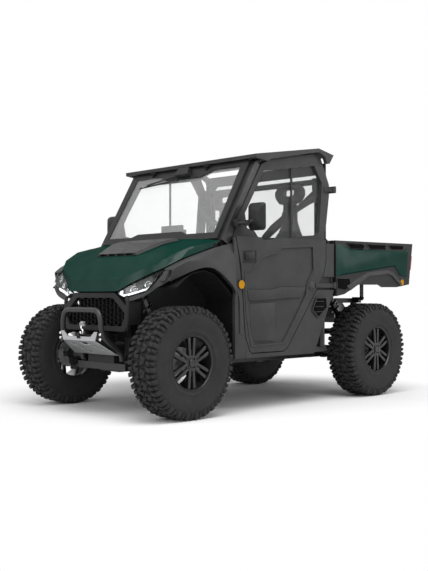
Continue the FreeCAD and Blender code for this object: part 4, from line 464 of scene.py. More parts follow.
def noise(tree, scale, detail=2.0, stretch=(1.0, 1.0, 1.0)):
    """A noise over Object coordinates."""
    place = tree.nodes.new("ShaderNodeTexCoord")
    mapping = added(tree, "ShaderNodeMapping", Scale=stretch)
    texture = added(tree, "ShaderNodeTexNoise", Scale=scale, Detail=detail)
    tree.links.new(place.outputs["Object"], mapping.inputs["Vector"])
    tree.links.new(mapping.outputs["Vector"], texture.inputs["Vector"])
    return texture.outputs["Fac"]


def spread(tree, value, low, high):
    """A value from 0.3 to 0.7 spread from low to high."""
    node = added(tree, "ShaderNodeMapRange", From_Min=0.3, From_Max=0.7, To_Min=low, To_Max=high)
    tree.links.new(value, node.inputs["Value"])
    return node.outputs["Result"]


def tint(tree, surface, value, dark, light):
    """Colour varied between two colours by a value."""
    mix = tree.nodes.new("ShaderNodeMix")
    mix.data_type = "RGBA"
    mix.inputs["A"].default_value = (*dark, 1.0)
    mix.inputs["B"].default_value = (*light, 1.0)
    tree.links.new(value, mix.inputs["Factor"])
    tree.links.new(mix.outputs["Result"], surface.inputs["Base Color"])


def bump(tree, surface, value, depth):
    """Fine relief, its depth in metres."""
    node = added(tree, "ShaderNodeBump", Distance=depth, Strength=1.0)
    tree.links.new(value, node.inputs["Height"])
    tree.links.new(node.outputs["Normal"], surface.inputs["Normal"])


def grained(name, colour, roughness, grain, depth, metallic=0.0, coat=0.0, vary=0.14, shine=0.5):
    """A moulded, cast or painted finish: fine grain in its relief, soft patches in its colour and gloss."""
    material, tree, surface = shader(name, colour, roughness, metallic)
    dark = [part * (1 - vary) for part in colour]
    light = [part * (1 + vary) for part in colour]
    tint(tree, surface, spread(tree, noise(tree, 6.0), 0.0, 1.0), dark, light)
    patches = spread(tree, noise(tree, 23.0), roughness - 0.05, roughness + 0.05)
    tree.links.new(patches, surface.inputs["Roughness"])
    bump(tree, surface, noise(tree, grain, 3.0), depth)
    preset(surface, Coat_Weight=coat, Coat_Roughness=0.05, Specular_IOR_Level=shine)
    return material


def lacquered(name, colour, roughness, gloss):
    """Paint with hardly any haze: a plain colour under a thin even share of mirrored light."""
    material = grained(name, colour, roughness, 900, 0.00002, vary=0.06, shine=0.0)
    tree = material.node_tree
    surface = tree.nodes["Principled BSDF"]
    mirror = added(tree, "ShaderNodeBsdfGlossy", Roughness=roughness * 0.5)
    share = spread(tree, noise(tree, 9.0), gloss * 0.8, gloss * 1.2)
    surfaced(tree, mixed(tree, share, surface.outputs["BSDF"], mirror.outputs["BSDF"]))
    return material


def brushed(name, dark, light, roughness):
    """Bare metal with fine brushed lines along the vehicle."""
    material, tree, surface = shader(name, light, roughness, 1.0)
    lines = noise(tree, 60.0, 4.0, (1.0, 14.0, 14.0))
    tint(tree, surface, spread(tree, lines, 0.0, 1.0), dark, light)
    tree.links.new(spread(tree, lines, roughness - 0.08, roughness + 0.1), surface.inputs["Roughness"])
    bump(tree, surface, lines, 0.0001)
    return material


def pane(name, colour, veil, gloss):
    """Clear glass seen through from both sides, with a share of pale film and a share of mirrored light."""
    material, tree = shader(name, colour, 0.02)[:2]
    seen = added(tree, "ShaderNodeBsdfTransparent", Color=(*colour, 1.0)).outputs["BSDF"]
    film = added(tree, "ShaderNodeBsdfDiffuse", Color=(0.9, 0.9, 0.9, 1.0))
    mirror = added(tree, "ShaderNodeBsdfGlossy", Roughness=0.03)
    for layer, share in ((film, veil), (mirror, gloss)):
        amount = spread(tree, noise(tree, 3.0), share * 0.92, share * 1.08)
        seen = mixed(tree, amount, seen, layer.outputs["BSDF"])
    surfaced(tree, seen)
    return material


def glowing(name, colour, strength):
    """A lit lamp."""
    material, tree, surface = shader(name, colour, 0.3)
    preset(surface, Emission_Color=(*colour, 1.0), Emission_Strength=strength)
    bump(tree, surface, noise(tree, 300.0), 0.0002)
    return material


def woven(name, colour, pitch):
    """Webbing or cloth: crossed threads in its colour and relief."""
    material, tree, surface = shader(name, colour, 0.8)
    place = tree.nodes.new("ShaderNodeTexCoord")
    threads = added(tree, "ShaderNodeTexWave", Scale=1 / pitch)
    threads.bands_direction = "DIAGONAL"
    tree.links.new(place.outputs["Object"], threads.inputs["Vector"])
    dark = [part * 0.6 for part in colour]
    tint(tree, surface, threads.outputs["Fac"], dark, colour)
    bump(tree, surface, threads.outputs["Fac"], 0.0004)
    return material


def stitched(name, colour, roughness, grain, depth):
    """Seat vinyl: pebbled leather grain with soft wrinkles."""
    material, tree, surface = shader(name, colour, roughness)
    place = tree.nodes.new("ShaderNodeTexCoord")
    pebbles = added(tree, "ShaderNodeTexVoronoi", Scale=grain)
    tree.links.new(place.outputs["Object"], pebbles.inputs["Vector"])
    dark = [part * 0.7 for part in colour]
    tint(tree, surface, pebbles.outputs["Distance"], dark, colour)
    wrinkles = spread(tree, noise(tree, 14.0), roughness - 0.08, roughness + 0.08)
    tree.links.new(wrinkles, surface.inputs["Roughness"])
    bump(tree, surface, pebbles.outputs["Distance"], depth)
    return material


def make_finishes(colours):
    """Every finish of the vehicle, by name."""
    paint = tuple(colours.paint)[:3]
    plastic = tuple(colours.plastic)[:3]
    dark = [part * 0.45 for part in plastic]
    # After a grained finish's colour come its roughness, its grain and the depth of its relief in metres
    return {
        "green_paint": lacquered("green_paint", paint, 0.42, 0.022),
        # Near black and nearly matte: painted shade, for the flat plates that stand in for dark slots and
        # openings
        "void_black": grained("void_black", (0.003, 0.003, 0.003), 0.8, 500, 0.0001, shine=0.05),
        "black_steel": grained("black_steel", (0.010, 0.010, 0.0105), 0.42, 420, 0.00015),
        "cage_black": grained("cage_black", (0.016, 0.016, 0.017), 0.45, 420, 0.00015),
        "cast": grained("cast", (0.014, 0.014, 0.015), 0.5, 260, 0.0005),
        "steel": brushed("steel", (0.10, 0.10, 0.105), (0.2, 0.2, 0.21), 0.36),
        "bright_cast": grained("bright_cast", (0.46, 0.46, 0.47), 0.4, 240, 0.0003, metallic=0.35),
        "silver": brushed("silver", (0.38, 0.385, 0.39), (0.54, 0.545, 0.55), 0.38),
        "chrome": grained("chrome", (0.75, 0.75, 0.76), 0.12, 200, 0.00005, metallic=1.0),
        "dark_plastic": grained("dark_plastic", plastic, 0.5, 1100, 0.0001, shine=0.18),
        "black_plastic": grained("black_plastic", dark, 0.45, 1100, 0.0001, shine=0.2),
        "screen_black": grained("screen_black", (0.006, 0.006, 0.007), 0.12, 80, 0.00001, coat=1.0),
        "tyre_rubber": grained("tyre_rubber", (0.019, 0.019, 0.0195), 0.75, 500, 0.0003, shine=0.3),
        "alloy": grained("alloy", (0.011, 0.011, 0.012), 0.32, 600, 0.00005, metallic=0.3, coat=0.3),
        "seat_vinyl": stitched("seat_vinyl", (0.03, 0.03, 0.031), 0.5, 420, 0.0005),
        "webbing": woven("webbing", (0.018, 0.018, 0.018), 0.004),
        "spring_black": grained("spring_black", (0.012, 0.012, 0.0125), 0.3, 300, 0.00005, coat=0.4),
        "rubber": grained("rubber", (0.008, 0.008, 0.008), 0.7, 700, 0.0002, shine=0.15),
        "red_lens": grained("red_lens", (0.42, 0.006, 0.008), 0.15, 120, 0.0002, coat=1.0),
        "amber": grained("amber", (0.50, 0.23, 0.002), 0.4, 160, 0.0004, shine=0.12),
        "mirror": grained("mirror", (0.7, 0.7, 0.71), 0.06, 90, 0.00001, metallic=1.0),
        "lamp_bowl": grained("lamp_bowl", (0.022, 0.022, 0.024), 0.3, 140, 0.0001, metallic=0.3),
        "day_light": glowing("day_light", (0.95, 0.97, 1.0), 0.75),
        "projector": pane("projector", (0.75, 0.78, 0.8), 0.03, 0.18),
        "lamp_cover": pane("lamp_cover", (0.97, 0.98, 0.98), 0.01, 0.05),
        "windshield_glass": pane("windshield_glass", (0.99, 0.995, 0.995), 0.13, 0.02),
        "door_glass": pane("door_glass", (0.995, 0.995, 0.995), 0.012, 0.01),
    }


# The stage

def make_camera():
    """The camera at the photograph's place."""
    bpy.ops.object.camera_add(location=camera_place)
    camera = bpy.context.object
    yaw = math.radians(camera_yaw)
    pitch = math.radians(camera_pitch)
    look = Vector((math.cos(yaw) * math.cos(pitch), math.sin(yaw) * math.cos(pitch), math.sin(pitch)))
    camera.rotation_mode = "QUATERNION"
    camera.rotation_quaternion = look.to_track_quat("-Z", "Y")
    camera.data.lens = camera.data.sensor_width * focal_pixels / photo_height
    camera.data.clip_end = 100
    bpy.context.scene.camera = camera


def seen_rays(tree):
    """One where a ray comes from the camera, a mirror or a pane."""
    rays = tree.nodes.new("ShaderNodeLightPath")
    value = rays.outputs["Is Camera Ray"]
    for name in ("Is Glossy Ray", "Is Transmission Ray"):
        most = tree.nodes.new("ShaderNodeMath")
        most.operation = "MAXIMUM"
        tree.links.new(value, most.inputs[0])
        tree.links.new(rays.outputs[name], most.inputs[1])
        value = most.outputs[0]
    return value


# How far from the middle the floor's shadow starts to fade, and where it is white, in metres
shadow_reach = 1.35
white_reach = 2.3

# The place that the lamps are turned to
lamp_aim = Vector((0, 0, 0.8))


def make_floor():
    """A pale floor that fades into the white background and keeps the vehicle's shadow."""
    bpy.ops.mesh.primitive_grid_add(x_subdivisions=8, y_subdivisions=8, size=60, location=(0, 0, -0.0005))
    floor = bpy.context.object
    floor.name = "studio_floor"
    material, tree, surface = shader("studio_floor", (0.93, 0.93, 0.93), 0.9)
    place = tree.nodes.new("ShaderNodeTexCoord")
    length = tree.nodes.new("ShaderNodeVectorMath")
    length.operation = "LENGTH"
    tree.links.new(place.outputs["Object"], length.inputs[0])
    fade = tree.nodes.new("ShaderNodeMapRange")
    fade.interpolation_type = "SMOOTHSTEP"
    preset(fade, From_Min=shadow_reach, From_Max=white_reach)
    tree.links.new(length.outputs["Value"], fade.inputs["Value"])
    both = tree.nodes.new("ShaderNodeMath")
    both.operation = "MULTIPLY"
    tree.links.new(seen_rays(tree), both.inputs[0])
    tree.links.new(fade.outputs["Result"], both.inputs[1])
    white = tree.nodes.new("ShaderNodeEmission")
    surfaced(tree, mixed(tree, both.outputs[0], surface.outputs["BSDF"], white.outputs["Emission"]))
    floor.data.materials.append(material)


def make_lights(settings):
    """A white surround and three soft lamps."""
    world = bpy.data.worlds.new("studio")
    bpy.context.scene.world = world
    world.use_nodes = True
    tree = world.node_tree
    light = preset(tree.nodes["Background"], Strength=settings.surround, Color=(1, 1, 1, 1))
    white = added(tree, "ShaderNodeBackground", Color=(1, 1, 1, 1))
    result = mixed(tree, seen_rays(tree), light.outputs["Background"], white.outputs["Background"])
    tree.links.new(result, tree.nodes["World Output"].inputs["Surface"])
    # Each lamp's place, width and power
    lamps = (((1.5, 2.0, 5.0), 4.0, settings.top_lamp), ((5.0, 0.5, 3.0), 3.0, settings.front_lamp),
             ((-3.0, 3.5, 3.0), 3.0, settings.rear_lamp))
    for place, size, power in lamps:
        bpy.ops.object.light_add(type="AREA", location=place)
        lamp = bpy.context.object
        lamp.data.size = size
        lamp.data.energy = power
        lamp.rotation_mode = "QUATERNION"
        lamp.rotation_quaternion = (lamp_aim - Vector(place)).to_track_quat("-Z", "Y")


# Wheels

def wheel_place(end, way):
    """The turn and move that take a piece modelled at the front left wheel to another one."""
    x = front_axle_x if end == "front" else rear_axle_x
    flip = Matrix.Scale(way, 4, across)
    return Matrix.Translation((x - front_axle_x, 0, 0)) @ flip


def on_every_wheel(piece, name, body):
    """Copies of a front left wheel's piece for the other three."""
    for end in ("front", "rear"):
        for side, way in sides.items():
            if (end, side) != ("front", "left"):
                copied(piece, f"{name}_{end}_{side}", body(end, side), wheel_place(end, way),
                       replaced_parts(name, end, side))


def replaced_parts(name, end, side):
    """The CAD node that a wheel's piece stands for."""
    return {"tread": [f"tyre_{end}_{side}"], "cast_wheel": [f"rim_{end}_{side}"]}.get(name, [])


def wheel_body(end, side):
    """The body that a wheel turns with."""
    return f"wheel_{end}_{side}"


def knuckle_body(end, side):
    """The body that carries a wheel."""
    return f"knuckle_{side}" if end == "front" else "chassis"


def tread_block(piece, radii, places, angles, lean, taper=0.004):
    """A tread block between two radii, two places across the tyre and two angles about the axle."""
    middle = sum(places) / 2
    turn = sum(angles) / 2

    def corner(late, outer, high):
        radius = radii[high]
        narrow = taper if high else 0.0
        y = places[outer]
        y -= math.copysign(narrow, y - middle)
        angle = angles[late] + (lean if outer else 0.0)
        angle -= math.copysign(narrow / radius, angles[late] - turn)
        return Vector((front_axle_x + radius * math.sin(angle), wheel_half_track + y,
                       axle_height + radius * math.cos(angle)))

    shaped_block(piece, corner, edge=0.0028)


def make_tyres(settings):
    """Mud tyres: a round carcass with rings on its walls, and staggered blocks on tread and shoulders."""
    centre = Vector((front_axle_x, wheel_half_track, axle_height))
    piece = begin("tread_front_left")
    wall = [(0.176, 0.102), (0.183, 0.109), (0.190, 0.1085), (0.203, 0.1125), (0.207, 0.1165),
            (0.213, 0.1172), (0.217, 0.1160), (0.245, 0.1205), (0.275, 0.1235), (0.300, 0.1243),
            (0.318, 0.1235), (0.334, 0.1200), (0.347, 0.1130),
            (0.354, 0.1010), (0.358, 0.0700), (0.360, 0.0250)]
    inside = [(0.348, 0.085), (0.300, 0.110), (0.230, 0.106), (0.190, 0.098)]
    section = wall + [(r, -y) for r, y in reversed(wall)] + [(r, -y) for r, y in reversed(inside)] + inside
    spun(piece, [centre + Vector((0, y, r)) for r, y in section], centre, across, steps=84)
    count = settings.pitches
    pitch = math.tau / count
    top = tyre_radius - 0.0008
    for way in (1, -1):
        shift = 0.0 if way > 0 else pitch / 2
        lean = pitch * 0.12
        # Each block's radii, places across the tyre, shares of the pitch, lean and taper
        blocks = [((0.348, top), (0.064, 0.1140), (0.04, 0.43), lean, 0.004),
                  ((0.332, 0.3735), (0.100, 0.1264), (0.04, 0.45), lean, 0.006),
                  ((0.348, top), (0.064, 0.1070), (0.55, 0.88), lean, 0.004),
                  ((0.341, 0.3700), (0.098, 0.1235), (0.56, 0.89), lean, 0.006),
                  ((0.355, top), (0.006, 0.0580), (0.16, 0.52), lean * 2, 0.004),
                  ((0.355, top), (0.004, 0.0540), (0.66, 1.02), -lean, 0.004)]
        for radii, places, angles, turn, taper in blocks:
            bpy.ops.mesh.select_all(action="DESELECT")
            tread_block(piece, radii, [way * place for place in places],
                        [share * pitch + shift for share in angles], turn, taper)
            repeated(count, centre, across)
        bpy.ops.mesh.select_all(action="DESELECT")
        tread_block(piece, (0.322, 0.342), [way * 0.1180, way * 0.1262],
                    [shift + pitch * 0.70, shift + pitch * 0.76], lean=0.01, taper=0.0005)
        repeated(count, centre, across)
    finish(piece, "wheel_front_left", "tyre_rubber", ["tyre_front_left"], angle=35)
    on_every_wheel(piece, "tread", wheel_body)


def spoke(piece, lean):
    """One of a pair of cast spokes, from the hub to the barrel, with its edges worked off."""
    def corner(outer, aside, front):
        reach = 0.1705 if outer else 0.036
        middle = lean * (0.0245 if outer else 0.0155)
        half = (0.0148 if outer else 0.0125) - (0.0030 if front else 0.0)
        y = (0.7585 if outer else 0.7600) if front else (0.7300 if outer else 0.7330)
        return Vector((front_axle_x + middle + (half if aside else -half), y, axle_height + reach))
    shaped_block(piece, corner, edge=0.0035, segments=2)


def make_rims(settings):
    """Cast wheels: a barrel with its flange, pairs of spokes with webs, a hub with its cap and four nuts."""
    centre = Vector((front_axle_x, wheel_half_track, axle_height))
    axle = Vector((front_axle_x, 0, axle_height))
    piece = begin("cast_wheel_front_left")
    barrel = [(0.1825, 0.7660), (0.1815, 0.7690), (0.1785, 0.7693), (0.1760, 0.7655), (0.1735, 0.7580),
              (0.1705, 0.7400), (0.1690, 0.7100), (0.1660, 0.6050), (0.1690, 0.5560), (0.1760, 0.5500),
              (0.1790, 0.5530), (0.1745, 0.5600), (0.1720, 0.6100), (0.1720, 0.7100), (0.1745, 0.7420)]
    spun(piece, [axle + Vector((0, y, r)) for r, y in barrel], centre, across, steps=72)
    for lean in (1, -1):
        bpy.ops.mesh.select_all(action="DESELECT")
        spoke(piece, lean)
        repeated(settings.spokes, centre, across)

    def web(outer, aside, front):
        half = 0.019 if outer else 0.012
        return Vector((front_axle_x + (half if aside else -half), 0.7500 if front else 0.7320,
                       axle_height + (0.0900 if outer else 0.040)))
    bpy.ops.mesh.select_all(action="DESELECT")
    shaped_block(piece, web, edge=0.002)
    repeated(settings.spokes, centre, across)
    hub = [(0.0, 0.7300), (0.0540, 0.7300), (0.0540, 0.7555), (0.0505, 0.7600), (0.0440, 0.7610),
           (0.0310, 0.7610), (0.0285, 0.7580), (0.0275, 0.7580), (0.0275, 0.7660), (0.0245, 0.7690),
           (0.0150, 0.7685), (0.0140, 0.7675), (0.0, 0.7675)]
    spun(piece, [axle + Vector((0, y, r)) for r, y in hub], centre, across, steps=48)
    nuts = 4
    for step in range(nuts):
        angle = math.tau * (step + 0.5) / nuts
        spot = axle + Vector((0.0385 * math.sin(angle), 0, 0.0385 * math.cos(angle)))
        turned(piece, [(0.0, 0.7600), (0.0088, 0.7600), (0.0088, 0.7655), (0.0070, 0.7680), (0.0, 0.7685)],
               spot, across, steps=6)
    finish(piece, "wheel_front_left", "alloy", ["rim_front_left"], angle=28)
    on_every_wheel(piece, "cast_wheel", wheel_body)


def make_brakes():
    """A disc with two rows of raised rings on each hub, and a bright caliper on each knuckle."""
    centre = Vector((front_axle_x, wheel_half_track, axle_height))
    piece = begin("brake_disc_front_left")
    disc = [(0.0450, 0.6040), (0.0450, 0.7310), (0.0400, 0.7310), (0.0400, 0.6440), (0.0600, 0.6440),
            (0.0640, 0.6425), (0.1035, 0.6425), (0.1035, 0.6375), (0.0640, 0.6375), (0.0600, 0.6360),
            (0.0480, 0.6360), (0.0480, 0.6040)]
    spun(piece, [centre + Vector((0, y - wheel_half_track, r)) for r, y in disc], centre, across, steps=48)
    rings_round = 18
    for reach in (0.078, 0.091):
        bpy.ops.mesh.select_all(action="DESELECT")
        spot = centre + Vector((0, 0.6425 - wheel_half_track, reach))
        rim = [(0.0022, 0.0), (0.0036, 0.0), (0.0036, 0.0007), (0.0022, 0.0007)]
        turned(piece, rim, spot, across, steps=10)
        repeated(rings_round, centre, across)
    finish(piece, "wheel_front_left", "bright_cast")
    on_every_wheel(piece, "brake_disc", wheel_body)
    piece = begin("caliper_front_left")
    x = front_axle_x
    z = axle_height
    for low, high in ((0.6505, 0.6680), (0.6185, 0.6295)):
        half = ((0.0600, 0.046), (0.1000, 0.046), (0.1165, 0.030))
        outline = [(x + reach, low, z - rise) for reach, rise in half]
        outline += [(x + reach, low, z + rise) for reach, rise in reversed(half)]
        prism(piece, outline, (0, high - low, 0), edge=0.003)
    for rise in (-0.023, 0.023):
        boss(piece, (0.0185, 0.0035), (0.0160, 0.0060), (x + 0.086, 0.6670, z + rise), across, steps=24)
    for rise in (-0.036, 0.036):
        cuboid((x + 0.103, 0.6290, z + rise - 0.010), (x + 0.1165, 0.6520, z + rise + 0.010), edge=0.002)
    finish(piece, "knuckle_left", "bright_cast")
    on_every_wheel(piece, "caliper", knuckle_body)


# The nose

# The lamp's outline at places across the nose: y, then lower and upper (x, z), and the way its face looks
lamp_sections = (
    (0.270, (1.3916, 0.8493), (1.3905, 0.8515)),
    (0.300, (1.3905, 0.8330), (1.3850, 0.8660)),
    (0.336, (1.3888, 0.8187), (1.3757, 0.8826)),
    (0.413, (1.3547, 0.8379), (1.3292, 0.9266)),
    (0.504, (1.3360, 0.8608), (1.2922, 0.9649)),
    (0.564, (1.3320, 0.9049), (1.2620, 0.9925)),
    (0.593, (1.2894, 0.9757), (1.2350, 1.0090)),
)
lamp_way = Vector((0.82, 0.30, 0.42)).normalized()

# Places across the lamp at which its long bands have points
lamp_stops = [0.276, 0.290, 0.300, 0.320, 0.336, 0.375, 0.413, 0.460, 0.504, 0.535, 0.564, 0.580, 0.590]

# Each projector's place across the nose, its share of the way up the lamp's face, and its radius
lamp_lenses = ((0.390, 0.56, 0.0270), (0.495, 0.52, 0.0250))


def lamp_spot(y, share, back=0.0):
    """A place on the lamp's face, a share of the way up it, set back into the nose."""
    for (y0, low0, high0), (y1, low1, high1) in zip(lamp_sections, lamp_sections[1:]):
        if y <= y1 or y1 == lamp_sections[-1][0]:
            along = (y - y0) / (y1 - y0)
            low = Vector((low0[0], y0, low0[1])).lerp(Vector((low1[0], y1, low1[1])), along)
            high = Vector((high0[0], y0, high0[1])).lerp(Vector((high1[0], y1, high1[1])), along)
            return low.lerp(high, share) - lamp_way * back
    return None


def lamp_band(piece, spots, depth, edge=0.0):
    """A band over the lamp's face: pairs of lower and upper places, with a depth behind them."""
    rings = []
    for low, high in spots:
        rings.append([low, high, high - lamp_way * depth, low - lamp_way * depth])
    lofted(piece, rings, edge)


def make_headlights(settings):
    """Each headlight's dark bowl with its ribs, its rim and its bent light guide."""
    piece = begin("lamp_bowl_left")
    bowl = [(lamp_spot(y, 0.03, 0.034), lamp_spot(y, 0.97, 0.026)) for y in lamp_stops]
    lamp_band(piece, bowl, depth=0.010)
    ribs = ((0.345, 0.350, 0.30, 0.95), (0.452, 0.458, 0.22, 0.95), (0.530, 0.535, 0.25, 0.9))
    for y0, y1, low, high in ribs:
        strip = [(lamp_spot(place, low, 0.012), lamp_spot(place, high, 0.012)) for place in (y0, y1)]
        lamp_band(piece, strip, depth=0.020, edge=0.001)
    finish(piece, "chassis", "lamp_bowl", ["headlights"])
    mirrored(piece, "chassis")
    piece = begin("lamp_rim_left")
    for low, high in ((0.0, 0.045), (0.955, 1.0)):
        border = [(lamp_spot(y, low, -0.001), lamp_spot(y, high, -0.001)) for y in lamp_stops]
        lamp_band(piece, border, depth=0.040)
    finish(piece, "chassis", "black_plastic")
    mirrored(piece, "chassis")
    piece = begin("day_light_left")
    width = settings.guide_share
    lower = [(y, 0.06, 0.06 + width * min(1.0, (y - 0.262) / 0.05)) for y in (0.280, 0.300, 0.325, 0.350)]
    lower += [(y, 0.05, 0.05 + width * 0.80) for y in (0.413, 0.470)]
    lower += [(0.504, 0.05, 0.20), (0.522, 0.06, 0.16)]
    guide = [(lamp_spot(y, low, 0.003), lamp_spot(y, high, 0.005)) for y, low, high in lower]
    lamp_band(piece, guide, depth=0.014, edge=0.001)
    inner = [(0.288, 0.30, 0.90), (0.300, 0.36, 0.92), (0.312, 0.44, 0.92)]
    guide = [(lamp_spot(y, low, 0.004), lamp_spot(y, high, 0.004)) for y, low, high in inner]
    lamp_band(piece, guide, depth=0.012)
    finish(piece, "chassis", "day_light")
    mirrored(piece, "chassis")


def make_lamp_lenses():
    """Each headlight's chrome rings and reflectors, its two projectors and its clear cover."""
    piece = begin("lamp_rings_left")
    for y, share, radius in lamp_lenses:
        turned(piece, [(radius, -0.016), (radius, 0.008), (radius - 0.002, 0.010), (radius - 0.005, 0.008),
                       (radius - 0.007, -0.016)], lamp_spot(y, share, 0.020), lamp_way, steps=32)
    for y, low, high in ((0.548, 0.35, 0.75), (0.562, 0.40, 0.80), (0.576, 0.45, 0.85)):
        strip = [(lamp_spot(place, low, 0.010), lamp_spot(place, high, 0.010)) for place in (y, y + 0.007)]
        lamp_band(piece, strip, depth=0.008, edge=0.001)
    finish(piece, "chassis", "chrome")
    mirrored(piece, "chassis")
    piece = begin("projectors_left")
    for y, share, radius in lamp_lenses:
        reach = radius - 0.006
        dome = [(0.0, -0.012), (reach, -0.012)]
        dome += [(reach * math.cos(turn), reach * 0.7 * math.sin(turn))
                 for turn in (0.0, 0.35, 0.7, 1.05, 1.35)]
        dome += [(0.0, reach * 0.7)]
        turned(piece, dome, lamp_spot(y, share, 0.022), lamp_way, steps=32)
    finish(piece, "chassis", "projector", angle=40)
    mirrored(piece, "chassis")
    piece = begin("lamp_cover_left")
    cover = [(lamp_spot(y, 0.01, -0.0005), lamp_spot(y, 0.99, -0.0005)) for y in [0.273] + lamp_stops]
    lamp_band(piece, cover, depth=0.002)
    finish(piece, "chassis", "lamp_cover")
    mirrored(piece, "chassis")


def make_bumper():
    """The round fascia bars, the bumper hoop, the skid plate's bolts, and the winch's hook and clevis."""
    line = [(1.372, 0.348, 0.826), (1.376, 0.362, 0.800), (1.376, 0.363, 0.740), (1.376, 0.363, 0.665),
            (1.374, 0.358, 0.625), (1.366, 0.340, 0.603), (1.356, 0.310, 0.596), (1.345, 0.275, 0.594)]
    piece = tube("fascia_bar_left", line, radius=0.0135, sides=16, angle=40)
    dress(piece, "chassis", "black_plastic")
    mirrored(piece, "chassis")
    half = [(1.318, 0.227, 0.372), (1.318, 0.227, 0.410), (1.352, 0.227, 0.448), (1.400, 0.227, 0.480),
            (1.462, 0.227, 0.528), (1.484, 0.227, 0.556), (1.4960, 0.225, 0.600), (1.4985, 0.222, 0.655),
            (1.4985, 0.208, 0.700), (1.4985, 0.180, 0.726), (1.4985, 0.140, 0.730), (1.4985, 0.070, 0.730)]
    line = half + [(x, -y, z) for x, y, z in reversed(half)]
    piece = tube("bumper_hoop", line, radius=0.0185, sides=24)
    dress(piece, "chassis", "cage_black", ["bull_bar"])
    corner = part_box("skid_plate")[1]
    piece = begin("skid_bolts")
    for way in (1, -1):
        for rise in (0.018, 0.052):
            spot = (corner.x - 0.012, way * (corner.y - 0.022), corner.z - rise)
            turned(piece, [(0.0, 0.0), (0.0105, 0.0), (0.0105, 0.003), (0.0075, 0.0075), (0.0, 0.0085)],
                   spot, (1, 0, 0.2), steps=16)
    finish(piece, "chassis", "chrome", angle=35)
    hook = [(1.490, 0.000, 0.624), (1.498, -0.002, 0.614), (1.500, -0.002, 0.606), (1.500, 0.006, 0.598),
            (1.500, 0.017, 0.590), (1.500, 0.022, 0.579), (1.500, 0.017, 0.567), (1.500, 0.005, 0.563),
            (1.500, -0.008, 0.569), (1.500, -0.011, 0.579)]
    piece = tube("winch_hook", hook, radius=0.0070, sides=12)
    dress(piece, "chassis", "chrome")
    piece = begin("hook_clevis")
    for y0, y1 in ((-0.016, -0.008), (0.008, 0.016)):
        cuboid((1.478, y0, 0.614), (1.504, y1, 0.642), edge=0.003)
    cuboid((1.474, -0.016, 0.636), (1.498, 0.016, 0.650), edge=0.004)
    pin = (1.492, 0, 0.624)
    turned(piece, [(0.0, -0.021), (0.0055, -0.021), (0.0055, 0.021), (0.0, 0.021)], pin, across, steps=12)
    turned(piece, [(0.0, 0.021), (0.009, 0.021), (0.009, 0.027), (0.0, 0.028)], pin, across, steps=6)
    finish(piece, "chassis", "bright_cast", angle=35)


# Half the width of the grille at its top and bottom edges, in metres
grille_top_half = 0.208
grille_low_half = 0.302

# The rows of the grille's mesh, the step from one to the next, and the length of a cell
grille_rows = 11
grille_row_step = 0.017
grille_cell = 0.088

# The radiator's fins
radiator_fins = 22

# The arch's lip from the lamp to the sill: its upper and lower places
arch_lip = (((1.262, 0.648, 0.990), (1.290, 0.637, 0.926)), ((1.200, 0.669, 1.030), (1.190, 0.665, 0.979)),
            ((1.135, 0.686, 1.056), (1.132, 0.688, 1.004)), ((1.065, 0.704, 1.073), (1.066, 0.708, 1.024)),
            ((0.955, 0.729, 1.081), (0.960, 0.739, 1.037)), ((0.885, 0.737, 1.062), (0.902, 0.745, 1.021)),
            ((0.835, 0.741, 1.026), (0.862, 0.746, 0.995)), ((0.780, 0.742, 0.984), (0.814, 0.746, 0.960)),
            ((0.678, 0.742, 0.907), (0.719, 0.746, 0.884)), ((0.650, 0.741, 0.850), (0.690, 0.744, 0.835)),
            ((0.640, 0.740, 0.780), (0.676, 0.743, 0.776)), ((0.634, 0.739, 0.560), (0.668, 0.741, 0.560)))


def make_grille():
    """The grille's mesh: bars that step up and down, each against the next, so that they form cells."""
    low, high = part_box("grille")
    piece = begin("grille_mesh")
    wave = ((0.0, 1), (0.026, 1), (0.044, -1), (0.070, -1))
    for row in range(grille_rows):
        rise = high.z - 0.012 - grille_row_step * row
        upper = grille_top_half + 1.27 * (high.z - rise)
        lower = grille_low_half + 0.64 * (rise - low.z)
        half = min(high.y, upper, lower) - 0.004
        spots = [(-half, None)]
        for number in range(-5, 5):
            for step, side in wave:
                y = number * grille_cell + step
                if -half + 0.003 < y < half - 0.003:
                    spots.append((y, side * (-1) ** row))
        spots.append((half, None))
        spots[0] = (-half, spots[1][1])
        spots[-1] = (half, spots[-2][1])
        rings = []
        for y, side in spots:
            z = rise + side * 0.0085
            rings.append([Vector((low.x + 0.002, y, z + 0.0030)), Vector((high.x, y, z + 0.0022)),
                          Vector((high.x, y, z - 0.0022)), Vector((low.x + 0.002, y, z - 0.0030))])
        lofted(piece, rings)
    finish(piece, "chassis", "black_plastic", ["grille"])


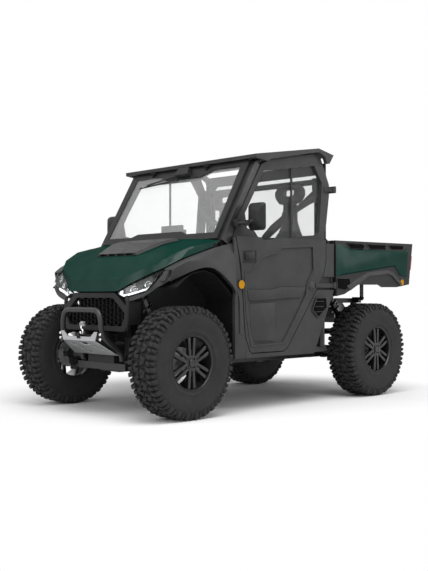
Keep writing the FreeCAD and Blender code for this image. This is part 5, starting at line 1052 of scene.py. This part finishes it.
def make_body():
    """The hood and the fenders with their soft curves, the arches' lips, and the radiator."""
    piece = smoothed("hood", "hood_shell", crease_degrees=9, crease=1.0)
    finish(piece, "hood", "green_paint", ["hood"], angle=11)
    piece = smoothed("front_fenders", "fender_shells", crease_degrees=50)
    for vertex in piece.data.vertices:
        x, y, z = vertex.co
        if 1.02 < x < 1.27 and abs(y) > 0.5:
            crown = 1.024 - 0.37 * (x - 1.06) - 0.9 * max(x - 1.19, 0) ** 1.5
            vertex.co.z = max(z, crown)
    finish(piece, "chassis", "dark_plastic", ["front_fenders"])
    piece = begin("arch_lip_left")
    rings = []
    for upper, lower in arch_lip:
        upper, lower = Vector(upper), Vector(lower)
        rings.append([upper, lower, lower + Vector((0.010, -0.034, 0.004)),
                      upper + Vector((0.010, -0.034, 0))])
    lofted(piece, rings)
    finish(piece, "chassis", "dark_plastic", angle=35)
    mirrored(piece, "chassis")
    piece = begin("radiator")
    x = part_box("front_fascia")[0].x + 0.034
    cuboid((x - 0.030, -0.300, 0.560), (x, 0.300, 0.885), edge=0.004)
    bpy.ops.mesh.select_all(action="DESELECT")
    cuboid((x - 0.004, -0.290, 0.575), (x + 0.004, 0.290, 0.578))
    for _ in range(radiator_fins - 1):
        moved_copy((0, 0, 0.012))
    finish(piece, "chassis", "rubber")


# The cab

# The line of the door's pressed panel and of the step across it
door_panel = [(0.540, 0.476), (0.590, 0.700), (0.605, 0.912), (0.599, 0.993), (0.540, 1.012), (0.427, 1.105),
              (0.269, 1.137), (0.227, 1.175), (-0.135, 1.200), (-0.145, 0.994), (-0.062, 0.888),
              (-0.055, 0.835), (0.200, 0.485)]
door_step = [(0.590, 0.872), (0.330, 0.872), (0.235, 0.892), (-0.050, 0.890), (-0.040, 0.862), (0.020, 0.812),
             (0.200, 0.806), (0.400, 0.796), (0.580, 0.790)]


def make_doors():
    """Pressed panels, latch, bolts and hinge plate on each door."""
    face = door_face_y
    piece = begin("door_pressing_left")
    grown = [(0.556, 0.460), (0.607, 0.700), (0.622, 0.912), (0.616, 1.003), (0.550, 1.026), (0.434, 1.120),
             (0.276, 1.152), (0.232, 1.192), (-0.150, 1.218), (-0.162, 0.994), (-0.079, 0.884),
             (-0.072, 0.831), (0.192, 0.469)]
    framed(piece, on_face(grown, face - 0.001), on_face(door_panel, face - 0.001),
           (0, 0.0045, 0), edge=0.0022)
    prism(piece, on_face(door_step, face - 0.002), (0, 0.0070, 0), edge=0.0045, segments=3)
    lower = [(0.552, 0.560), (0.575, 0.770), (0.300, 0.780), (0.300, 0.500), (0.515, 0.500)]
    prism(piece, on_face(lower, face - 0.002), (0, 0.0040, 0), edge=0.0025, segments=2)
    finish(piece, "door_left", "dark_plastic")
    mirrored(piece, "door_right")
    piece = begin("door_latch_left")
    box = [(0.494, 1.062), (0.630, 1.062), (0.637, 1.150), (0.494, 1.155)]
    framed(piece, on_face(box, face - 0.001), on_face(shrunk(box, 0.86), face - 0.001),
           (0, 0.004, 0), edge=0.0015)
    prism(piece, on_face(shrunk(box, 0.84), face - 0.006), (0, 0.0065, 0), edge=0.001)
    prism(piece, on_face([(0.532, 1.088), (0.616, 1.086), (0.618, 1.136), (0.532, 1.140)], face),
          (0, 0.0100, 0), edge=0.004, segments=3)
    boss(piece, (0.0085, 0.0035), (0.0065, 0.0045), (0.588, face + 0.0095, 1.112), across, steps=20)
    finish(piece, "door_left", "black_plastic")
    mirrored(piece, "door_right")
    piece = begin("door_bolts_left")
    plate = [(-0.092, 0.873), (-0.152, 0.868), (-0.168, 0.932), (-0.092, 0.931)]
    for x, z in shrunk(plate, 0.62):
        boss(piece, (0.0065, 0.0025), (0.0045, 0.0045), (x, face + 0.0045, z), across, steps=6)
    for x, z in ((0.494, 0.438), (0.260, 0.438), (0.020, 0.678), (0.585, 0.640), (-0.170, 1.180)):
        boss(piece, (0.0070, 0.0015), (0.0050, 0.0030), (x, face, z), across, steps=16)
    finish(piece, "door_left", "black_steel")
    mirrored(piece, "door_right")
    piece = begin("hinge_plate_left")
    prism(piece, on_face(plate, face - 0.001), (0, 0.0055, 0), edge=0.002)
    finish(piece, "door_left", "cage_black")
    mirrored(piece, "door_right")


# The place and the radius of each round reflector, ahead of the door and by the bed's end
reflectors = ((0.663, 0.7475, 0.907, 0.030), (-1.336, 0.7405, 0.938, 0.025))


def make_reflectors():
    """The round amber reflectors in their rims."""
    piece = begin("reflectors")
    for x, y, z, reach in reflectors:
        lens = [(0.0, -0.004), (reach, -0.004), (reach, 0.003), (reach - 0.004, 0.0055), (0.0, 0.0060)]
        turned(piece, lens, (x, y, z), across, steps=32)
    mirror_all()
    finish(piece, "chassis", "amber")
    piece = begin("reflector_rims")
    for x, y, z, reach in reflectors:
        rim = [(reach - 0.002, -0.004), (reach + 0.004, -0.004), (reach + 0.004, 0.0015),
               (reach + 0.001, 0.0030), (reach - 0.002, 0.0015)]
        turned(piece, rim, (x, y, z), across, steps=32)
    mirror_all()
    finish(piece, "chassis", "black_plastic")


def make_mirrors():
    """Door mirrors: a faceted shell, its glass, and a jointed arm to the door."""
    piece = begin("mirror_shell_left")
    rings = [rounded(0.741, 0.888, 1.292, 1.486, 0.560, 0.022),
             rounded(0.739, 0.890, 1.290, 1.488, 0.572, 0.024),
             rounded(0.747, 0.884, 1.300, 1.478, 0.594, 0.026),
             rounded(0.785, 0.852, 1.345, 1.432, 0.618, 0.026)]
    lofted(piece, rings)
    bevelled(0.002)
    round_bar((0.600, 0.812, 1.360), (0.640, 0.772, 1.342), radius=0.014, sides=20)
    bevelled(0.003)
    round_bar((0.628, 0.786, 1.342), (0.700, 0.728, 1.338), radius=0.0125, sides=20)
    bevelled(0.003)
    turned(piece, [(0.0, -0.020), (0.0185, -0.020), (0.0185, 0.020), (0.0, 0.020)],
           (0.636, 0.778, 1.342), (0, 0, 1), steps=20)
    cuboid((0.664, 0.690, 1.312), (0.706, 0.742, 1.364), edge=0.006, segments=3)
    finish(piece, "door_left", "black_plastic", ["mirror_left"], angle=25)
    mirrored(piece, "door_right", ["mirror_right"])
    piece = begin("mirror_glass_left")
    glass = [rounded(0.750, 0.879, 1.301, 1.477, x, 0.018) for x in (0.5592, 0.5610)]
    lofted(piece, glass, edge=0.0005, segments=1)
    finish(piece, "door_left", "mirror")
    mirrored(piece, "door_right")


# The size of a pad's faces before it is smoothed, the steps it is blown up in, and half a seam's width
pad_voxel = 0.012
stuffing_steps = 20
seam_reach = 0.009


def swollen(piece, pressure, cap):
    """Blows a closed pad up as cloth, no further than a cap from where it was, and keeps the result."""
    before = [vertex.co.copy() for vertex in piece.data.vertices]
    cloth = piece.modifiers.new("stuffing", "CLOTH")
    cloth.settings.use_pressure = True
    cloth.settings.uniform_pressure_force = pressure
    cloth.settings.effector_weights.gravity = 0.0
    cloth.point_cache.frame_end = stuffing_steps
    for step in range(1, stuffing_steps + 1):
        bpy.context.scene.frame_set(step)
    seen = piece.evaluated_get(bpy.context.evaluated_depsgraph_get())
    after = [vertex.co.copy() for vertex in seen.data.vertices]
    piece.modifiers.remove(cloth)
    bpy.context.scene.frame_set(1)
    for vertex, old, new in zip(piece.data.vertices, before, after):
        move = new - old
        if move.length > cap:
            move *= cap / move.length
        vertex.co = old + move


def sewn(piece, seams):
    """Draws a pad in along its seams: each gives a depth at a place."""
    for vertex in piece.data.vertices:
        depth = max(seam(vertex.co) for seam in seams)
        if depth > 0:
            vertex.co -= vertex.normal * depth


def groove(axis, place, depth, low=-math.inf, high=math.inf, other="z"):
    """A sewn line at a place on one axis, between two places on another."""
    def seam(spot):
        if not low < getattr(spot, other) < high:
            return 0.0
        return depth * max(0.0, 1 - abs(getattr(spot, axis) - place) / seam_reach)
    return seam


def pad(settings, seams, replaced=()):
    """Turns the outline in hand into a stuffed pad: even skin, swollen, smoothed and sewn."""
    piece = bpy.context.object
    bpy.ops.object.mode_set(mode="OBJECT")
    shell = piece.modifiers.new("shell", "REMESH")
    shell.mode = "VOXEL"
    shell.voxel_size = pad_voxel
    bpy.ops.object.modifier_apply(modifier="shell")
    swollen(piece, settings.pressure, settings.swell)
    soft = piece.modifiers.new("soft", "SUBSURF")
    soft.levels = 1
    soft.render_levels = 1
    bpy.ops.object.modifier_apply(modifier="soft")
    sewn(piece, seams)
    bpy.ops.object.shade_smooth()
    dress(piece, "chassis", "seat_vinyl", replaced)
    other = mirrored(piece, "chassis")


def make_seats(settings):
    """Two bucket seats: cushion, back and open headrest, each a stuffed pad, on a moulded base."""
    low_y = 0.150
    high_y = 0.590
    shoulder_z = 1.2
    neck_share = 0.36
    piece = begin("seat_cushion_left")
    outline = [(-0.190, 0.782), (0.180, 0.782), (0.200, 0.800), (0.200, 0.845), (0.170, 0.868),
               (0.020, 0.858), (-0.190, 0.852)]
    prism(piece, [(x, low_y, z) for x, z in outline], (0, high_y - low_y, 0), edge=0.018, segments=3)
    seams = [groove("x", place, depth=0.006, low=0.86, high=1.0) for place in (0.060, -0.060)]
    seams += [groove("y", place, depth=0.006, low=0.845, high=1.0) for place in (0.215, 0.525)]
    seams += [groove("z", 0.822, depth=0.003)]
    pad(settings, seams, ["seats"])
    piece = begin("seat_back_left")
    outline = [(-0.262, 0.790), (-0.196, 0.800), (-0.205, 0.950), (-0.226, 1.180), (-0.258, 1.400),
               (-0.275, 1.530), (-0.308, 1.530), (-0.324, 1.400), (-0.306, 1.180), (-0.288, 0.950)]
    prism(piece, [(x, low_y + 0.008, z) for x, z in outline], (0, high_y - low_y - 0.016, 0),
          edge=0.016, segments=3)
    shape = bmesh.from_edit_mesh(piece.data)
    for vertex in shape.verts:
        if vertex.co.z > shoulder_z:
            vertex.co.y = seat_middle_y + (vertex.co.y - seat_middle_y) * neck_share
    bmesh.update_edit_mesh(piece.data)
    seams = [groove("z", place, depth=0.006, high=-0.20, other="x") for place in (1.06, 1.20, 1.34)]
    seams += [groove("y", place, depth=0.005, low=0.85, high=1.48) for place in (0.225, 0.515)]
    pad(settings, seams)
    piece = begin("headrest_left")
    outer = [(0.100, 1.566), (0.146, 1.626), (0.146, 1.675), (0.108, 1.714)]
    inner = [(0.052, 1.630), (0.055, 1.635), (0.055, 1.676), (0.050, 1.680)]
    around = []
    for half in (outer, inner):
        around.append([Vector((-0.326, seat_middle_y + y, z)) for y, z in half]
                      + [Vector((-0.326, seat_middle_y - y, z)) for y, z in reversed(half)])
    framed(piece, around[0], around[1], (0.062, 0, 0), edge=0.010, segments=3)
    pad(settings, [groove("x", -0.295, depth=0.003)])
    piece = begin("seat_posts")
    for y in (0.330, 0.410):
        round_bar((-0.296, y, 1.500), (-0.296, y, 1.600), radius=0.0085, sides=16)
    cuboid((-0.312, 0.305, 1.505), (-0.280, 0.435, 1.572), edge=0.010, segments=3)
    mirror_all()
    finish(piece, "chassis", "black_plastic")
    piece = begin("seat_bases")
    cuboid((-0.300, 0.140, 0.771), (0.196, 0.600, 0.790), edge=0.006, segments=3)
    mirror_all()
    finish(piece, "chassis", "black_plastic")


def band(piece, spots, width, thick, lie):
    """A flat strap along places, its width across a direction."""
    rings = []
    for number, spot in enumerate(spots):
        run = (spots[min(number + 1, len(spots) - 1)] - spots[max(number - 1, 0)]).normalized()
        side = lie - run * lie.dot(run)
        side.normalize()
        up = run.cross(side) * thick / 2
        rings.append([spot + side * width / 2 + up, spot - side * width / 2 + up,
                      spot - side * width / 2 - up, spot + side * width / 2 - up])
    lofted(piece, rings)


def make_belts():
    """The shoulder belts: webbing from the pillar's guide across the seat to its buckle."""
    piece = begin("belt_webbing")
    shoulder = [Vector(spot) for spot in (
        (-0.266, 0.640, 1.582), (-0.240, 0.600, 1.560), (-0.215, 0.500, 1.505), (-0.200, 0.388, 1.450),
        (-0.190, 0.270, 1.375), (-0.185, 0.190, 1.300), (-0.175, 0.150, 1.200), (-0.150, 0.132, 1.000),
        (-0.140, 0.125, 0.870))]
    band(piece, shoulder, width=0.046, thick=0.0022, lie=Vector((0.0, 0.45, 0.85)))
    mirror_all()
    finish(piece, "chassis", "webbing", angle=35)
    piece = begin("belt_buckles")
    cuboid((-0.162, 0.108, 0.790), (-0.122, 0.132, 0.890), edge=0.006, segments=3)
    cuboid((-0.290, 0.610, 1.560), (-0.258, 0.660, 1.606), edge=0.005, segments=3)
    mirror_all()
    finish(piece, "chassis", "black_plastic")


def make_cabin():
    """The display on the dash and the clamps under the visor."""
    piece = begin("dash_display")
    cuboid((0.588, -0.170, 1.290), (0.618, 0.065, 1.368), edge=0.008, segments=3)
    cuboid((0.600, -0.080, 1.240), (0.640, -0.025, 1.300), edge=0.008, segments=3)
    finish(piece, "chassis", "dark_plastic")
    piece = begin("display_screen")
    cuboid((0.5868, -0.155, 1.302), (0.5890, 0.050, 1.356), edge=0.0008, segments=1)
    finish(piece, "chassis", "screen_black")
    piece = begin("visor_clamps")
    for y in (-0.390, 0.228):
        cuboid((0.488, y - 0.026, 1.800), (0.514, y + 0.026, 1.826), edge=0.004)
        round_bar((0.500, y - 0.030, 1.808), (0.500, y + 0.030, 1.808), radius=0.008, sides=16)
        bevelled(0.0015)
        cuboid((0.496, y - 0.010, 1.780), (0.512, y + 0.010, 1.806), edge=0.003)
    finish(piece, "chassis", "rubber")


# The bed

# The bed's painted cover, its outer line and the inner line of its bevels, then the opening below it,
# the upper and lower places of the arch's trim, and the slots above
bed_cover = [(-0.417, 1.232), (-0.505, 1.234), (-0.590, 1.198), (-1.372, 1.206), (-1.413, 1.231),
             (-1.398, 0.985), (-1.300, 0.995), (-1.223, 1.074), (-0.458, 0.984), (-0.417, 0.978)]
bed_inner = [(-0.470, 1.200), (-0.515, 1.198), (-0.596, 1.184), (-1.372, 1.192), (-1.404, 1.206),
             (-1.388, 0.995), (-1.306, 1.005), (-1.229, 1.084), (-0.500, 1.000), (-0.470, 0.996)]
bed_opening = [(-0.430, 0.962), (-0.592, 0.960), (-0.606, 0.915), (-0.545, 0.872), (-0.440, 0.884)]
bed_arch = (((-0.560, 0.905), (-0.600, 0.868)), ((-0.840, 1.020), (-0.850, 0.985)),
            ((-1.120, 1.044), (-1.115, 1.008)), ((-1.200, 1.026), (-1.180, 0.992)),
            ((-1.330, 0.935), (-1.300, 0.912)))
bed_slots = (((-0.556, 1.242), (-0.792, 1.238), (-0.786, 1.211), (-0.606, 1.208)),
             ((-0.826, 1.243), (-1.094, 1.245), (-1.088, 1.218), (-0.873, 1.212)),
             ((-1.130, 1.246), (-1.356, 1.248), (-1.346, 1.222), (-1.176, 1.218)))


def make_bed():
    """The painted bed covers, the slots above them and the opening below as black plates of painted shade in
    their rims, and the arch's trim below.
    """
    piece = begin("bed_cover_left")
    lofted(piece, [on_face(bed_cover, bed_face_y), on_face(bed_cover, 0.7430), on_face(bed_inner, 0.7545)])
    finish(piece, "bed", "green_paint", ["bed_side_covers"])
    mirrored(piece, "bed")
    # The slots and the opening are flat black plates on the bed's face: painted shade where the holes are
    # dark
    piece = begin("bed_slots_left")
    for outline in bed_slots + (bed_opening,):
        prism(piece, on_face(outline, bed_face_y), (0, 0.0016, 0), edge=0.0005)
    finish(piece, "bed", "void_black")
    mirrored(piece, "bed")
    piece = begin("bed_slot_rims_left")
    for outline in bed_slots + (bed_opening,):
        framed(piece, on_face(shrunk(outline, 1.08), bed_face_y), on_face(outline, bed_face_y),
               (0, 0.0045, 0), edge=0.0012)
    rings = []
    for (x0, z0), (x1, z1) in bed_arch:
        rings.append([Vector((x0, bed_face_y, z0)), Vector((x0, 0.7460, z0 - 0.008)),
                      Vector((x1, 0.7490, z1)), Vector((x1, bed_face_y, z1))])
    lofted(piece, rings)
    finish(piece, "bed", "dark_plastic")
    mirrored(piece, "bed")


# The vent behind the door
side_vent = [(-0.178, 0.806), (-0.289, 0.806), (-0.296, 0.736), (-0.197, 0.664), (-0.130, 0.718)]


def make_vents():
    """The vents behind the doors: a black plate of painted shade for each opening, in its rim with three
    slats.
    """
    # The vent's opening is a flat black plate: painted shade where the opening is dark
    piece = begin("side_vent_left")
    prism(piece, on_face(side_vent, 0.7420), (0, 0.0016, 0), edge=0.0005)
    finish(piece, "chassis", "void_black")
    mirrored(piece, "chassis")
    piece = begin("vent_rim_left")
    framed(piece, on_face(shrunk(side_vent, 1.12), 0.7415), on_face(side_vent, 0.7415),
           (0, 0.0060, 0), edge=0.0020)
    for rise in (0.700, 0.740, 0.780):
        cuboid((-0.262, 0.7425, rise), (-0.160, 0.7455, rise + 0.005), edge=0.001)
    finish(piece, "chassis", "dark_plastic")
    mirrored(piece, "chassis")


# What a user can change

class UtvColours(bpy.types.PropertyGroup):
    """Colours of the vehicle's main finishes."""
    paint: bpy.props.FloatVectorProperty(name="Paint", description="Colour of the painted panels",
                                         subtype="COLOR", default=(0.003, 0.031, 0.022), min=0, max=1)
    plastic: bpy.props.FloatVectorProperty(name="Plastic", description="Colour of the moulded body panels",
                                           subtype="COLOR", default=(0.041, 0.041, 0.0422), min=0, max=1)


class UtvWheels(bpy.types.PropertyGroup):
    """Sizes of the tyres and wheels."""
    pitches: bpy.props.IntProperty(name="Tread pitches", description="Rows of blocks round a tyre",
                                   default=28, min=12, max=40)
    spokes: bpy.props.IntProperty(name="Spoke pairs", description="Pairs of spokes in a wheel",
                                  default=6, min=4, max=9)


class UtvLamps(bpy.types.PropertyGroup):
    """Sizes of the headlights."""
    guide_share: bpy.props.FloatProperty(name="Light guide",
                                         description="Width of the light guide on the lamp's face",
                                         default=0.24, min=0.05, max=0.5, subtype="FACTOR")


class UtvSeatPads(bpy.types.PropertyGroup):
    """How full the seats are."""
    pressure: bpy.props.FloatProperty(name="Stuffing", description="Pressure that blows the pads up",
                                      default=4.0, min=0, max=20)
    swell: bpy.props.FloatProperty(name="Swell", description="How far the skin of a pad may move",
                                   default=0.014, min=0, max=0.05, subtype="DISTANCE", unit="LENGTH")


class UtvStudio(bpy.types.PropertyGroup):
    """Light levels of the stage."""
    surround: bpy.props.FloatProperty(name="Surround", description="Strength of the light from all round",
                                      default=0.45, min=0, max=2)
    top_lamp: bpy.props.FloatProperty(name="Top lamp", description="Power of the lamp above",
                                      default=200, min=0, max=1000, subtype="POWER")
    front_lamp: bpy.props.FloatProperty(name="Front lamp", description="Power of the lamp ahead",
                                        default=50, min=0, max=1000, subtype="POWER")
    rear_lamp: bpy.props.FloatProperty(name="Rear lamp", description="Power of the lamp behind",
                                       default=50, min=0, max=1000, subtype="POWER")


# One operator for each group of pieces

class UtvStage(bpy.types.Operator):
    """Add the camera, the floor and the lights"""
    bl_idname = "utv.stage"
    bl_label = "Stage"

    def execute(self, context):
        make_camera()
        make_floor()
        make_lights(context.scene.utv_studio)
        return {"FINISHED"}


class UtvFinishes(bpy.types.Operator):
    """Make the finishes and give the frame's parts theirs"""
    bl_idname = "utv.finishes"
    bl_label = "Finishes"

    def execute(self, context):
        finishes.update(make_finishes(context.scene.utv_colours))
        dress_nodes()
        return {"FINISHED"}


class UtvTyres(bpy.types.Operator):
    """Model the tyres"""
    bl_idname = "utv.tyres"
    bl_label = "Tyres"

    def execute(self, context):
        make_tyres(context.scene.utv_wheels)
        return {"FINISHED"}


class UtvRims(bpy.types.Operator):
    """Model the wheels, brake discs and calipers"""
    bl_idname = "utv.rims"
    bl_label = "Wheels and brakes"

    def execute(self, context):
        make_rims(context.scene.utv_wheels)
        make_brakes()
        return {"FINISHED"}


class UtvHeadlights(bpy.types.Operator):
    """Model the headlights"""
    bl_idname = "utv.headlights"
    bl_label = "Headlights"

    def execute(self, context):
        make_headlights(context.scene.utv_lamps)
        make_lamp_lenses()
        return {"FINISHED"}


class UtvBumper(bpy.types.Operator):
    """Model the bumper, its bolts and the winch's hook"""
    bl_idname = "utv.bumper"
    bl_label = "Bumper and hook"

    def execute(self, context):
        make_bumper()
        return {"FINISHED"}


class UtvBody(bpy.types.Operator):
    """Model the grille's mesh, the hood, the front fenders and the radiator"""
    bl_idname = "utv.body"
    bl_label = "Hood and fenders"

    def execute(self, context):
        make_grille()
        make_body()
        return {"FINISHED"}


class UtvDoors(bpy.types.Operator):
    """Model the doors' pressings, latches, hinge plates and reflectors"""
    bl_idname = "utv.doors"
    bl_label = "Doors"

    def execute(self, context):
        make_doors()
        make_reflectors()
        return {"FINISHED"}


class UtvMirrors(bpy.types.Operator):
    """Model the door mirrors"""
    bl_idname = "utv.mirrors"
    bl_label = "Mirrors"

    def execute(self, context):
        make_mirrors()
        return {"FINISHED"}


class UtvSeats(bpy.types.Operator):
    """Stuff and sew the seats"""
    bl_idname = "utv.seats"
    bl_label = "Seats"

    def execute(self, context):
        make_seats(context.scene.utv_seats)
        return {"FINISHED"}


class UtvBelts(bpy.types.Operator):
    """Model the seat belts"""
    bl_idname = "utv.belts"
    bl_label = "Seat belts"

    def execute(self, context):
        make_belts()
        return {"FINISHED"}


class UtvCabin(bpy.types.Operator):
    """Model the display and the visor's clamps"""
    bl_idname = "utv.cabin"
    bl_label = "Cabin"

    def execute(self, context):
        make_cabin()
        return {"FINISHED"}


class UtvBed(bpy.types.Operator):
    """Model the bed's covers and slots, and the vents behind the doors"""
    bl_idname = "utv.bed"
    bl_label = "Bed"

    def execute(self, context):
        make_bed()
        make_vents()
        return {"FINISHED"}


class UtvPanel(bpy.types.Panel):
    """Lists the vehicle's settings and steps"""
    bl_idname = "VIEW3D_PT_utv"
    bl_label = "Utility vehicle"
    bl_space_type = "VIEW_3D"
    bl_region_type = "UI"
    bl_category = "Utility vehicle"

    def draw(self, context):
        for group in (context.scene.utv_colours, context.scene.utv_wheels,
                      context.scene.utv_lamps, context.scene.utv_seats,
                      context.scene.utv_studio):
            for name in group.bl_rna.properties.keys():
                if name not in ("rna_type", "name"):
                    self.layout.prop(group, name)
        for step in steps:
            self.layout.operator(step.bl_idname)


steps = [UtvStage, UtvFinishes, UtvTyres, UtvRims, UtvHeadlights, UtvBody, UtvBumper,
         UtvDoors, UtvMirrors, UtvSeats, UtvBelts, UtvCabin, UtvBed]
groups = {"utv_colours": UtvColours, "utv_wheels": UtvWheels, "utv_lamps": UtvLamps,
          "utv_seats": UtvSeatPads, "utv_studio": UtvStudio}


def register():
    """Makes the settings, steps and panel known."""
    for kind in [*groups.values(), *steps, UtvPanel]:
        bpy.utils.register_class(kind)
    for name, kind in groups.items():
        setattr(bpy.types.Scene, name, bpy.props.PointerProperty(type=kind))


def unregister():
    """Takes the settings, steps and panel away again."""
    for name in groups:
        delattr(bpy.types.Scene, name)
    for kind in [*groups.values(), *steps, UtvPanel]:
        bpy.utils.unregister_class(kind)


def main():
    """Builds the whole vehicle."""
    register()
    bpy.context.scene.view_settings.view_transform = "Standard"
    for step in steps:
        group, action = step.bl_idname.split(".")
        bpy.ops.object.select_all(action="DESELECT")
        getattr(getattr(bpy.ops, group), action)()


if __name__ == "__main__":
    main()
